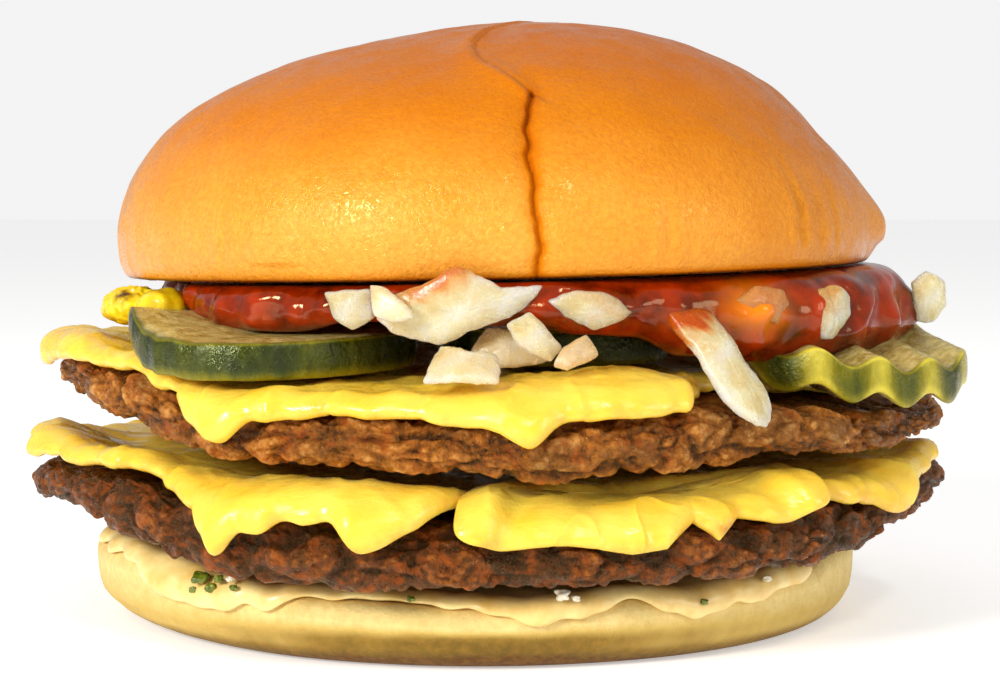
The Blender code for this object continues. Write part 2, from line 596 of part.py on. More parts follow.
def sauce_ring(azimuth, station, share, lift):
    """A ring of the sauce, at that station round the heel's corner or that share of the way to its edge."""
    flat, corner_z = heel_radius(azimuth) - HEEL_CORNER, heel_corner_z(azimuth)
    quarter = HEEL_CORNER * math.pi / 2
    edge = flat + quarter + corner_z - HEEL_CORNER - around(SAUCE_LOW_Z, azimuth)
    run = np.minimum(flat + station * quarter, edge * share)
    turn = np.clip((run - flat) / HEEL_CORNER, 0, math.pi / 2)
    fall = np.maximum(run - flat - quarter, 0)
    ring = polar(HEEL_CENTRE, azimuth, np.minimum(run, flat) + (HEEL_CORNER + lift) * np.sin(turn), 0.0)
    on_side = corner_z - HEEL_CORNER + (HEEL_CORNER + lift) * np.cos(turn) - fall
    ring[:, 2] = np.where(run < flat, heel_top_z(ring[:, 0], ring[:, 1]) + lift, on_side)
    return ring


def build_sauce():
    """A thin spread on the heel that runs down its side in broad tongues."""
    azimuth, inner = azimuths(ROUND_STEPS), azimuths(INNER_STEPS)
    stations = ((0.0, 0.935), (0.5, 0.96), (1.0, 0.98))
    upper = SAUCE_GAP + SAUCE_T
    rings = [sauce_ring(inner, 0.0, 0.5, upper)]
    rings += [sauce_ring(azimuth, station, share, upper) for station, share in stations]
    rings += [sauce_ring(azimuth, PAST_CORNER, 0.99, SAUCE_GAP + SAUCE_T * 0.8)]
    rings += [sauce_ring(azimuth, PAST_CORNER, 1.0, SAUCE_GAP)]
    rings += [sauce_ring(azimuth, station, share, SAUCE_GAP) for station, share in reversed(stations)]
    rings += [sauce_ring(inner, 0.0, 0.5, SAUCE_GAP)]
    middle_z = heel_top_z(*HEEL_CENTRE) + SAUCE_GAP
    add_solid("sauce", rings, (*HEEL_CENTRE, middle_z + SAUCE_T), (*HEEL_CENTRE, middle_z), SAUCE)


def pickle_points(spec, x, y, side, grow):
    """Points of a pickle slice over places given from its centre; side is 1 above and -1 below."""
    c, s = math.cos(math.radians(spec["turn"])), math.sin(math.radians(spec["turn"]))
    wave = spec["wave"] * np.sin((x + CRINKLE_SHIFT) * 2 * math.pi / CRINKLE_PITCH)
    px, py = spec["centre"][0] + x * c - y * s, spec["centre"][1] + x * s + y * c
    raised = spec["tilt"] * (py - spec["centre"][1] + PICKLE_PIVOT * spec["radius"])
    middle = topping_floor(px, py) + 1.5 * GAP + spec["wave"] + PICKLE_T / 2 + raised
    return np.stack([px, py, middle + side * (PICKLE_T / 2 + grow) + wave], axis=-1)


def plain_pickle_rings(spec, grow):
    turn = azimuths(PICKLE_STEPS)
    radius = (spec["radius"] + grow) * (1 + 0.025 * np.sin(np.radians(turn * 3 + spec["seed"] * 50)))
    c, s = radius * np.cos(np.radians(turn)), radius * np.sin(np.radians(turn))
    levels = ((0.6, 1), (0.96, 1), (1.0, 0.55), (1.0, -0.55), (0.96, -1), (0.6, -1))
    rings = [pickle_points(spec, c * share, s * share, side, grow) for share, side in levels]
    poles = [pickle_points(spec, np.array(0.0), np.array(0.0), side, grow) for side in (1, -1)]
    return rings, poles


def crinkle_pickle_rings(spec, grow):
    """The rings of a wavy slice stand across its waves, so that they follow each crest and trough."""
    radius = spec["radius"] + grow
    across = np.arange(-0.9 * radius, 0.9 * radius, CRINKLE_PITCH / 5)
    across = np.concatenate([[-0.985 * radius, -0.95 * radius], across, [0.95 * radius, 0.985 * radius]])
    outline = (
        (1.0, -0.5), (0.93, -1), (0.0, -1), (-0.93, -1), (-1.0, -0.5),
        (-1.0, 0.5), (-0.93, 1), (0.0, 1), (0.93, 1), (1.0, 0.5),
    )
    rings = []
    for x in across:
        half = math.sqrt(radius**2 - x**2)
        y, side = half * np.array(outline)[:, 0], np.array(outline)[:, 1]
        rings.append(pickle_points(spec, np.full(len(y), x), y, side, grow))
    poles = [pickle_points(spec, np.array(side * radius), np.array(0.0), 0.0, grow) for side in (-1, 1)]
    return rings, poles


def build_pickle(name, spec, grow=0.0):
    rings, poles = (crinkle_pickle_rings if spec["wave"] else plain_pickle_rings)(spec, grow)
    return add_solid(name, rings, poles[0], poles[1], PICKLE)


def onion_ring(corners, share, thick, grow):
    """A ring of a bent slab of onion that faces the front: each corner and the middle of each side."""
    corners = np.asarray(corners, float)
    corners = corners * (1 + 1.3 * grow / np.hypot(corners[:, 0], corners[:, 1]))[:, None]
    middles = (corners + np.roll(corners, -1, axis=0)) / 2
    outline = np.stack([corners * 0.97, middles * 1.03], axis=1).reshape(-1, 2) * share
    bend = (outline[:, 0] ** 2 + 0.3 * outline[:, 1] ** 2) / (2 * ONION_BEND_R)
    return np.column_stack([outline[:, 0], bend - thick, outline[:, 1]])


def build_onion(name, spec, grow=0.0):
    azimuth, reach, z, lean, roll, yaw, corners = spec
    half = ONION_T / 2 + grow
    levels = ((0.6, half), (0.97, half * 0.75), (0.97, -half * 0.75), (0.6, -half))
    rings = [onion_ring(corners, share, thick, grow)[::-1] for share, thick in levels]
    onion = add_solid(name, rings, (0, -half, 0), (0, half, 0), ONION)
    onion.location = polar((0, 0), azimuth, reach, z) * MM
    onion.rotation_mode = "YXZ"
    onion.rotation_euler = [math.radians(turn) for turn in (lean, roll, azimuth - FRONT + yaw)]
    return onion


def cut_pockets(solid, cutters):
    """Cuts a pocket for each thing that the solid touches, from a copy of it that is a little larger."""
    for cutter in cutters:
        cutter.hide_render = True
        cutter.display_type = "WIRE"
        cut = solid.modifiers.new("pocket " + cutter.name, "BOOLEAN")
        cut.operation = "DIFFERENCE"
        cut.solver = "EXACT"
        cut.object = cutter


def build_ketchup():
    """The ketchup under the crown, with fat lobes at the left and right and pockets for the toppings."""
    azimuth, inner = azimuths(ROUND_STEPS), azimuths(INNER_STEPS)
    reach = around(KETCHUP_REACH, azimuth)
    reach = reach + 0.5 * ripple(polar((0, 0), azimuth, 20.0, 0.0), 3.0, 9.0)
    edge = polar((0, 0), azimuth, reach, 0.0)
    high = crown_underside_z(edge[:, 0]) - GAP
    low = around(KETCHUP_LOW_Z, azimuth)
    bulge = (high - low) / 2
    upper_inner = polar((0, 0), inner, 26.0, 0.0)
    upper_inner[:, 2] = crown_underside_z(upper_inner[:, 0]) - GAP
    rings = [upper_inner]
    for angle in np.radians((90, 55, 20, -20, -55, -90)):
        level = (high + low) / 2 + bulge * math.sin(angle)
        rings.append(polar((0, 0), azimuth, reach - bulge * (1 - math.cos(angle)), level))
    rings.append(polar((0, 0), azimuth, reach - 2.6 * bulge, np.maximum(low, KETCHUP_MIDDLE_Z - 0.6)))
    rings.append(polar((0, 0), inner, 22.0, KETCHUP_MIDDLE_Z))
    poles = (0, 0, CROWN_UNDERSIDE_Z - GAP), (0, 0, KETCHUP_MIDDLE_Z)
    ketchup = add_solid("ketchup", rings, poles[0], poles[1], KETCHUP)
    cutters = [build_pickle("pocket_" + name, spec, SPREAD_GAP) for name, spec in PICKLES.items()]
    cutters += [build_onion("pocket_" + name, spec, GAP) for name, spec in ONIONS.items()]
    cutters.append(build_mustard("pocket_mustard", GAP))
    cut_pockets(ketchup, cutters)


def build_mustard(name, grow=0.0):
    """A blob of three soft lobes: along each ray from its middle it reaches as far as any of them."""
    balls = np.array(MUSTARD_BALLS)
    middle = balls[0, :3]
    rings = []
    for angle in (65, 35, 8, -20, -50):
        turn = azimuths(INNER_STEPS)
        way = polar((0, 0), turn, math.cos(math.radians(angle)), math.sin(math.radians(angle)))
        far = []
        for x, y, z, half_z, half_xy in balls:
            scale = np.array([half_xy, half_xy, half_z]) + grow
            start, step = (middle - (x, y, z)) / scale, way / scale
            a, b, c = (step**2).sum(1), 2 * (step * start).sum(1), (start**2).sum() - 1
            root = np.sqrt(np.maximum(b * b - 4 * a * c, 0))
            far.append(np.where(b * b - 4 * a * c > 0, (root - b) / (2 * a), 0))
        rings.append(middle + way * np.max(far, axis=0)[:, None])
    top, bottom = middle + (0, 0, balls[0, 3] + grow), middle - (0, 0, balls[0, 3] + grow)
    return add_solid(name, rings, top, bottom, MUSTARD)


def main():
    start_scene()
    build_heel()
    build_sauce()
    build_patty("patty_lower", LOWER_PATTY)
    build_slice("cheese_lower_under", LOWER_PATTY, UNDER_HANG, UNDER_PUFFS)
    build_over_slice()
    build_patty("patty_upper", UPPER_PATTY)
    build_slice("cheese_upper", UPPER_PATTY, UPPER_HANG, UPPER_PUFFS)
    for name, spec in PICKLES.items():
        build_pickle(name, spec)
    for name, spec in ONIONS.items():
        build_onion(name, spec)
    build_ketchup()
    mustard = build_mustard("mustard")
    cut_pockets(mustard, [bpy.data.objects["pocket_pickle_left"]])
    build_crown()


main()
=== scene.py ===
"""The look of the double cheeseburger.

Each solid of the frame is replaced by a finely shaped piece of the same form. Sizes are in millimetres
in the frame of the solids: the origin is on the table, +Z is up, -Y is the front.
An azimuth runs anticlockwise from above: 0 is right, 90 back, 180 left and 270 front.
"""

import math

import bpy
import numpy as np
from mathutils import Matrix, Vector, noise


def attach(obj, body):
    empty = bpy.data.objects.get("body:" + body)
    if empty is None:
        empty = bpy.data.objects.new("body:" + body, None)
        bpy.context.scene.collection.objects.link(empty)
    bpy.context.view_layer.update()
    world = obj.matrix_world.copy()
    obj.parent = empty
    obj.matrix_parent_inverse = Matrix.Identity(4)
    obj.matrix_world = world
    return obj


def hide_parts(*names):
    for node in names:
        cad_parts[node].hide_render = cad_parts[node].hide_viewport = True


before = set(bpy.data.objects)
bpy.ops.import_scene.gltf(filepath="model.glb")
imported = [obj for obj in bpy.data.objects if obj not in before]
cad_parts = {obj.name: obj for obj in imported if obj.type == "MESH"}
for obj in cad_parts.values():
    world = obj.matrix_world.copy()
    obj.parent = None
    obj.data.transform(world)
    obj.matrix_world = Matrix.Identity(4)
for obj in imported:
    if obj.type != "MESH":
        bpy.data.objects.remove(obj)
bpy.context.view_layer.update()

MM = 0.001
FRONT = 270.0

ROOM_LIGHT = 0.5
BACKDROP_LIGHT = 0.9
FLOOR_GLOW = 0.4
CAMERA_PLACE = (0.26, -312.0, 53.4)
CAMERA_TILT = 3.59
CAMERA_LENS = 85.0

CROWN_CENTRE = (0.1, 0.0)
CROWN_R = 50.0
CROWN_UNDERSIDE_Z = 44.5
CROWN_WIDEST_Z = 48.8
CROWN_TOP_Z = 76.05
CROWN_RIGHT_LIFT = 1.1
CROWN_APEX_SHIFT = 6.0
CROWN_SHOULDER_DIP = 1.7
CROWN_TEAR = {"azimuth": 352.0, "z": 50.0, "width": 4.5, "height": 2.0}
CREASE = (
    (275.1, 44.0), (275.4, 48.0), (274.5, 52.0), (274.9, 54.5), (274.4, 58.5), (274.0, 62.6), (274.7, 66.0),
)
SEAM = ((274.7, 66.0), (268.5, 68.5), (263.1, 69.9), (252.8, 73.7))
# Small upright wrinkles near the crown's edge: azimuth, middle height, length and depth.
WRINKLES = (
    (230.4, 48.5, 5.0, 0.36), (292.7, 48.0, 4.5, 0.42), (316.2, 50.5, 6.0, 0.6), (321.5, 49.0, 5.0, 0.36),
    (326.0, 50.0, 4.0, 0.32), (120.0, 49.0, 5.0, 0.4), (60.0, 48.5, 4.5, 0.4), (10.0, 50.0, 5.0, 0.3),
)
PATCH = {"azimuth": 239.0, "z": 48.0, "width": 3.2, "height": 1.5, "rise": 0.32}

HEEL_CENTRE = (-2.6, 0.0)
HEEL_R = 49.5
HEEL_TOP_Z = 10.3
HEEL_CORNER = 2.0
HEEL_FOOT_R = 43.5
HEEL_FOOT_RISE = 6.0
HEEL_LEFT_TUCK = 3.0

GAP = 0.35
SPREAD_GAP = 0.5
MELT_GAP = 0.05
SAUCE_GAP = 0.65
PATTY_T = 7.6
CHEESE_T = 1.6
SAUCE_T = 1.0
PICKLE_T = 4.3
PICKLE_PIVOT = 0.75
RIND_TRIM = 0.35
CRINKLE_HEIGHT = 0.8
CRINKLE_PITCH = 7.2
CRINKLE_SHIFT = 1.9

LOWER_PATTY = {
    "centre": (-1.6, 0.0),
    "radius": 58.4,
    "middle_z": 15.8,
    "rim_z": {
        0: 17.4, 60: 14.6, 110: 14.2, 160: 16.6, 183: 17.8, 193: 17.8, 207: 18.7, 220: 17.8, 230: 15.4,
        240: 14.1, 255: 13.6, 270: 13.2, 300: 13.8, 325: 14.7, 334: 16.4, 349: 17.8,
    },
    "rim_t": {
        0: 7.6, 60: 9.0, 160: 7.5, 191: 6.0, 207: 6.6, 220: 10.2, 240: 9.6, 270: 9.4, 300: 8.8,
        325: 8.6, 340: 7.4,
    },
    "bulges": {191: 1.2, 352: 2.0, 226: -0.6, 269: -2.4, 286: -1.6, 95: -2.4, 140: -1.0},
    "seed": 3.1,
}
UPPER_PATTY = {
    "centre": (0.3, 0.0),
    "radius": 58.2,
    "middle_z": 28.2,
    "rim_z": {
        0: 27.0, 45: 26.6, 90: 27.2, 135: 29.3, 180: 31.8, 205: 31.8, 218: 30.2, 226: 28.1, 234: 26.9,
        248: 26.6, 264: 25.9, 275: 25.6, 305: 26.6, 325: 25.5, 340: 25.9,
    },
    "rim_t": {
        0: 5.8, 45: 7.5, 90: 8.4, 135: 8.0, 180: 7.0, 205: 6.4, 218: 8.4, 226: 7.6, 234: 7.2, 250: 7.6,
        264: 7.8, 275: 9.2, 306: 8.0, 325: 6.2, 340: 5.4,
    },
    "bulges": {200: -0.8, 301: -2.6, 340: 0.6, 60: 1.0, 92: -0.8, 120: -1.2},
    "seed": 8.7,
}

UPPER_HANG = {
    0: -5, 20: -2, 42: 1.5, 62: -4, 88: -6, 112: 0.8, 130: 2.2, 150: -3, 172: -2.5, 190: -0.6,
    204: -1.8, 217: -4.2, 228: -4.4, 233: -1.4, 238.2: 0.8, 242: -2.2, 250: -3.4, 260: -3.4, 267: -2.8,
    273: -1.0, 278: -3.4, 284: -3.4, 291: -3.4, 296: -8, 303: -17, 320: -21, 340: -14,
}
UNDER_HANG = {
    0: -8, 20: -5, 45: 1.6, 70: -3.5, 92: -5.5, 115: -4, 137: 2.2, 160: -3, 178: -5.0, 186: -3.8,
    193: -3.8, 199: -2.4, 209: -3.2, 217: -5.0, 224: -6.4, 230: -5.0, 235: -3.4, 238: -1.4, 240: 0.0,
    243.5: -1.8, 248: -3.0, 252.5: -3.4, 257.5: -1.0, 262: -2.8, 269: -8, 275: -17, 290: -19, 304: -17,
    312: -7.0, 320: -3.4, 330: -0.6, 336: -2.6, 346: -3.0,
}
RIM_PUFF = (46.0, 56.0, 57.0, 61.5)
FRONT_PUFF = (43.0, 48.5, 50.0, 58.0)
UPPER_PUFFS = ((196.0, 11.0, 1.4, RIM_PUFF), (285.0, 10.0, 2.1, FRONT_PUFF), (269.0, 10.0, 1.2, FRONT_PUFF))
LIP_PUFF = (46.0, 52.5, 56.5, 63.0)
UNDER_PUFFS = ((192.0, 14.0, 3.2, RIM_PUFF), (254.0, 21.0, 2.1, LIP_PUFF))
PUFF_DROOP = 0.7
LEAST_RUN = 2.0
OVER_AZIMUTH, OVER_RUN = 289.6, 51.0
OVER_HALF_WIDTH, OVER_HALF_DEPTH = 23.0, 6.2
OVER_SQUARENESS = 12
OVER_LEAN = 6.0
OVER_HANG = {-90: 0, -40: 0.4, -12: 1.6, 4: 1.4, 20: -1.4, 30: 1.2, 42: -1.0, 60: 0.6, 90: 1.4}

SAUCE_LOW_Z = {
    0: 12, 30: 8, 55: 5.6, 80: 11, 110: 6.5, 135: 5.0, 160: 12, 185: 11, 198: 9.9, 212: 9.4, 222: 6.2,
    228: 5.8, 240: 6.6, 249: 8.1, 258: 8.2, 269: 7.4, 277: 5.7, 283: 6.2, 291: 7.8, 300: 5.7, 309: 6.8,
    322: 7.8, 333: 11,
}
KETCHUP_REACH = {
    0: 52.0, 25: 47.0, 60: 44.0, 85: 47.5, 110: 50.0, 130: 46.0, 165: 43.0, 195: 44.5, 208: 44.8,
    219: 47.5, 234: 49.4, 246: 48.6, 252: 48.6, 262: 50.4, 272: 50.2, 282: 49.4, 290: 49.0, 299: 49.6,
    308: 50.8, 318: 51.6, 330: 53.0, 345: 54.2,
}
KETCHUP_LOW_Z = {
    0: 36.5, 25: 39.5, 60: 41, 85: 39.5, 110: 37.5, 130: 40, 165: 41.5, 195: 41, 212: 40.5, 226: 38.0,
    240: 38.2, 250: 39.6, 262: 39.6, 272: 39.2, 282: 38.2, 289: 37.8, 298: 35.4, 308: 34.4, 318: 34.0,
    334: 34.0, 346: 34.6,
}
KETCHUP_MIDDLE_Z = 42.2
# Where a piece of onion shines through the ketchup.
GLOW = {"azimuth": 306.5, "z": 41.0, "width": 4.0, "height": 2.4, "rise": 1.1}
MUSTARD_BALLS = (
    (-44.6, -19.6, 40.3, 2.8, 5.0), (-39.4, -25.6, 40.4, 2.7, 4.6), (-47.0, -13.6, 40.1, 2.7, 4.2),
)
MUSTARD_CHAR = (-46.0, -23.0, 41.8)

PLAIN_PICKLE = {"tilt": 0.0, "wave": 0.0, "turn": 0.0}
PICKLES = {
    "pickle_left": {"centre": (-27.0, -32.0), "radius": 17.4, "seed": 1.0},
    "pickle_right": {
        "centre": (41.0, -21.0), "radius": 16.8, "seed": 2.0, "tilt": 0.06,
        "wave": CRINKLE_HEIGHT, "turn": 14.0,
    },
    "pickle_middle": {"centre": (6.8, -22.6), "radius": 14.4, "seed": 4.0},
    "pickle_back_left": {
        "centre": (-24.0, 28.0), "radius": 17.0, "seed": 5.0, "wave": CRINKLE_HEIGHT, "turn": 150.0,
    },
    "pickle_back_right": {"centre": (19.0, 33.5), "radius": 17.6, "seed": 6.0},
}

# Each piece of onion: its place (azimuth, distance out, height), its turn (lean, roll, yaw), the ketchup on
# it (how strong, from which side of the piece, right and up, and how far out it starts) and its corners.
ONIONS = {
    "onion_01": (
        (249.9, 49.3, 41.2), (8, 0, 0), (0.12, 0.0, 1.0, -1.0),
        ((-2.7, 1.8), (2.7, 2.2), (3.2, -1.1), (0.6, -2.4), (-1.6, -1.2)),
    ),
    "onion_02": (
        (257.6, 54.3, 42.1), (-10, 0, -12), (0.08, 1.0, 0.0, -9.0),
        ((-2.7, 1.9), (-1.1, 1.8), (1.9, -0.2), (2.8, -1.5), (0.6, -2.2), (-1.9, -1.5)),
    ),
    "onion_03": (
        (264.8, 51.8, 41.1), (8, 0, 6), (0.72, -0.3, 0.95, 3.0),
        ((-9.2, -0.3), (-7.0, 1.5), (-2.8, 3.2), (0.3, 5.2), (5.0, 2.5), (9.9, 2.4), (7.2, -0.4),
         (1.7, -2.2), (-1.4, -3.8), (-6.6, -2.8)),
    ),
    "onion_04": (
        (274.6, 51.2, 38.3), (-14, 0, 8), (0.12, 1.0, 0.0, -9.0),
        ((-3.1, 1.4), (-0.4, 2.8), (3.1, -1.2), (1.7, -2.8), (-1.8, -1.2)),
    ),
    "onion_05": (
        (271.6, 48.2, 36.9), (-20, 0, 0), (0.2, 1.0, 0.0, -9.0),
        ((-3.9, 0.6), (-2.5, 2.3), (-0.3, 2.1), (4.4, -1.0), (3.7, -1.7), (1.7, -2.0), (-1.4, -2.4),
         (-4.4, -1.2)),
    ),
    "onion_06": (
        (265.7, 54.6, 35.4), (-58, 0, 0), (0.16, 1.0, 0.0, -9.0),
        ((-3.9, -2.6), (-2.5, 3.1), (-0.9, 3.0), (1.3, 1.4), (4.1, 1.8), (4.3, -2.4), (0.8, -2.7)),
    ),
    "onion_07": (
        (279.3, 53.1, 36.6), (-40, 0, 0), (0.3, 1.0, 0.0, -9.0),
        ((-2.6, -1.4), (-1.4, 0.6), (1.6, 2.4), (2.6, -0.2), (-1.1, -2.2)),
    ),
    "onion_08": (
        (282.4, 49.8, 41.1), (10, 0, 0), (0.3, 0.6, 0.8, -0.5),
        ((-5.1, 1.0), (-2.0, 2.3), (1.6, 1.9), (5.0, -0.2), (2.1, -1.6), (0.0, -2.2), (-3.5, -0.6)),
    ),
    "onion_09": (
        (298.4, 53.0, 36.0), (-37, 0, 0), (0.95, -0.35, 0.94, 3.6),
        ((-5.1, 7.4), (-3.1, 8.8), (0.4, 6.6), (2.2, 1.7), (3.0, -1.0), (4.4, -5.6), (3.8, -8.4),
         (1.6, -8.9), (-1.8, -5.6), (-3.2, 1.1)),
    ),
    "onion_10": (
        (319.4, 51.6, 40.0), (-4, 0, -16), (0.5, -0.7, 0.7, 0.2),
        ((-2.6, -0.3), (-1.5, 2.8), (1.2, 3.4), (3.2, 2.0), (3.0, -0.3), (0.2, -3.0), (-1.5, -2.8)),
    ),
    "onion_11": (
        (345.4, 56.2, 41.3), (2, 0, -62), (0.12, -1.0, 0.0, 0.0),
        ((-2.3, 1.6), (-0.4, 3.2), (2.1, 1.9), (2.3, -1.2), (0.6, -3.4), (-1.5, -3.2)),
    ),
    "onion_12": (
        (307.6, 50.4, 41.2), (-4, 0, 0), (0.62, 0.0, 1.0, -9.0),
        ((-4.0, 0.8), (-1.3, 2.3), (2.7, 1.9), (4.2, 0.0), (2.0, -2.1), (-2.2, -1.6)),
    ),
    "onion_13": (
        (69.5, 49.4, 40.6), (-80, 0, 20), (0.3, 0.0, 1.0, 0.0),
        ((-4.6, 1.0), (-1.0, 3.0), (4.4, 1.6), (3.2, -2.0), (-2.0, -2.6)),
    ),
    "onion_14": (
        (92.0, 54.6, 36.4), (-50, -15, 0), (0.1, 0.0, 1.0, 0.0),
        ((-3.6, -1.6), (-2.0, 2.8), (3.4, 2.2), (4.0, -1.8), (0.4, -3.0)),
    ),
    "onion_15": (
        (112.0, 49.8, 41.2), (-76, 0, 12), (0.3, 1.0, 0.0, 0.0),
        ((-3.0, 1.2), (0.8, 2.6), (3.4, 0.4), (1.4, -2.4), (-2.2, -1.8)),
    ),
    "onion_16": (
        (170.0, 51.0, 38.2), (-72, 0, -8), (0.2, 0.0, 1.0, 0.0),
        ((-4.2, 0.6), (0.2, 2.2), (4.4, 1.0), (2.4, -1.6), (-2.4, -1.8)),
    ),
}
ONION_T = 2.2
ONION_BEND_R = 17.0
FILM = {"azimuth": 289.0, "run": 45.5, "width": 8.0, "depth": 4.0}
GREASY_TIP = 297.0

# Bits in the sauce: azimuth round the heel, height and size.
RELISH_BITS = (
    (230.6, 9.4, 1.5), (232.4, 8.4, 1.1), (233.9, 9.6, 0.9), (229.2, 7.9, 0.8), (236.5, 8.8, 0.7),
    (262.0, 8.9, 0.7), (301.0, 7.4, 0.8), (128.0, 8.0, 1.3), (52.0, 8.6, 1.0),
)
DICE_BITS = ((281.2, 9.3, 1.3), (283.0, 8.8, 0.8), (236.0, 9.8, 0.8), (312.0, 9.2, 0.8), (60.0, 9.0, 1.1))

# Points round each ring of a piece.
COLUMNS = {
    "crown": 400, "heel": 420, "patty": 880, "slice": 760, "folded slice": 640, "sauce": 520, "pickle": 300,
    "ketchup": 700, "mustard": 160, "bit": 22,
}
# Lumps of seared meat: their size and how deep the crevices between them are.
CLUMPS, LUMPS, GRAINS = (9.0, 0.95), (4.2, 0.42), (1.9, 0.2)
HOLLOW_DEPTH = 0.5
LEAST_DEPTH, MOST_DEPTH = 0.5, 2.8
# A wet surface mirrors less blue where it is seen face on.
WARM_SHINE = (1.0, 0.72, 0.36, 1.0)


# Numbers and noise

def smoothstep(low, high, value):
    t = np.clip((value - low) / (high - low), 0.0, 1.0)
    return t * t * (3 - 2 * t)


def bell(distance, width):
    return np.exp(-((distance / width) ** 2))


def around(table, azimuth):
    """The table's value at an azimuth in degrees, joined smoothly from entry to entry."""
    keys = sorted(table)
    azimuth = np.asarray(azimuth, float) % 360
    at = np.array([keys[-1] - 360, *keys, keys[0] + 360], float)
    values = np.array([table[keys[-1]], *(table[k] for k in keys), table[keys[0]]], float)
    i = np.clip(np.searchsorted(at, azimuth, side="right") - 1, 0, len(at) - 2)
    t = (azimuth - at[i]) / (at[i + 1] - at[i])
    t = t * t * (3 - 2 * t)
    return values[i] * (1 - t) + values[i + 1] * t


def angle_between(a, b):
    return (np.asarray(a) - b + 180) % 360 - 180


def azimuths(count):
    return np.arange(count) * 360.0 / count


def half_turn(count):
    """Angles from straight up to straight down."""
    return np.linspace(math.pi / 2, -math.pi / 2, count)


def cos_sin(degrees):
    return np.cos(np.radians(degrees)), np.sin(np.radians(degrees))


def polar(azimuth, radius, z, centre=(0.0, 0.0)):
    cos, sin = cos_sin(azimuth)
    x, y = centre[0] + radius * cos, centre[1] + radius * sin
    return np.stack([x, y, np.broadcast_to(z, np.shape(x))], axis=-1)


def ripple(points, size, seed):
    """Smooth noise from -1 to 1 at each point, with features of about that size."""
    shift = Vector((seed * 13.7, seed * 5.3, seed * 9.1))
    flat = np.asarray(points, float).reshape(-1, 3) / size
    values = [noise.noise(Vector(p) + shift) for p in flat]
    return np.clip(np.array(values).reshape(np.shape(points)[:-1]) * 1.6, -1, 1)


def cells(points, size, seed):
    """Round lumps packed side by side: 1 at the middle of each and 0 in the crevices."""
    shift = Vector((seed * 7.1, seed * 11.3, seed * 3.7))
    flat = np.asarray(points, float).reshape(-1, 3) / size
    near = np.array([noise.voronoi(Vector(p) + shift)[0][:2] for p in flat])
    near = near.reshape(*np.shape(points)[:-1], 2)
    dome = np.sqrt(np.clip(1 - (near[..., 0] / 0.85) ** 2, 0, 1))
    return dome * smoothstep(0.0, 0.28, near[..., 1] - near[..., 0])


# Meshes

def new_object(name, data):
    made = bpy.data.objects.new(name, data)
    bpy.context.scene.collection.objects.link(made)
    return made


def skin(name, rings, top, bottom, material, **values):
    """A closed piece skinned over equally long rings of points, from top to bottom, with a pole at each end.

    Each of the values, which the material reads, is a list with a number or an array of numbers per ring.
    """
    rings = np.asarray(rings, float)
    levels, count = rings.shape[:2]
    points = np.concatenate([[top], rings.reshape(-1, 3), [bottom]])
    i = np.arange(count)
    k = (i + 1) % count
    start = 1 + np.arange(levels - 1)[:, None] * count
    quads = np.stack([start + i, start + count + i, start + count + k, start + k], axis=-1).reshape(-1, 4)
    last, end = len(points) - 1, 1 + (levels - 1) * count
    caps = [(0, 1 + a, 1 + b) for a, b in zip(i, k)] + [(end + a, last, end + b) for a, b in zip(i, k)]
    mesh = bpy.data.meshes.new(name)
    mesh.from_pydata((points * MM).tolist(), [], quads.tolist() + caps)
    for key, rows in values.items():
        v = np.array([np.broadcast_to(row, count) for row in rows], np.float32)
        numbers = np.concatenate([v[:1, 0], v.reshape(-1), v[-1:, 0]])
        mesh.attributes.new(key, "FLOAT", "POINT").data.foreach_set("value", numbers)
    mesh.materials.append(material)
    mesh.shade_smooth()
    piece = new_object(name, mesh)
    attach(piece, "root")
    return piece


# Materials

def shader_colour(colour):
    """A grey level, or a colour in 0 to 255 as the screen shows it, for a shader."""
    if not isinstance(colour, tuple):
        return (colour, colour, colour, 1.0)
    linear = [(c / 255 / 12.92) if c <= 10 else ((c / 255 + 0.055) / 1.055) ** 2.4 for c in colour]
    return (*linear, 1.0)


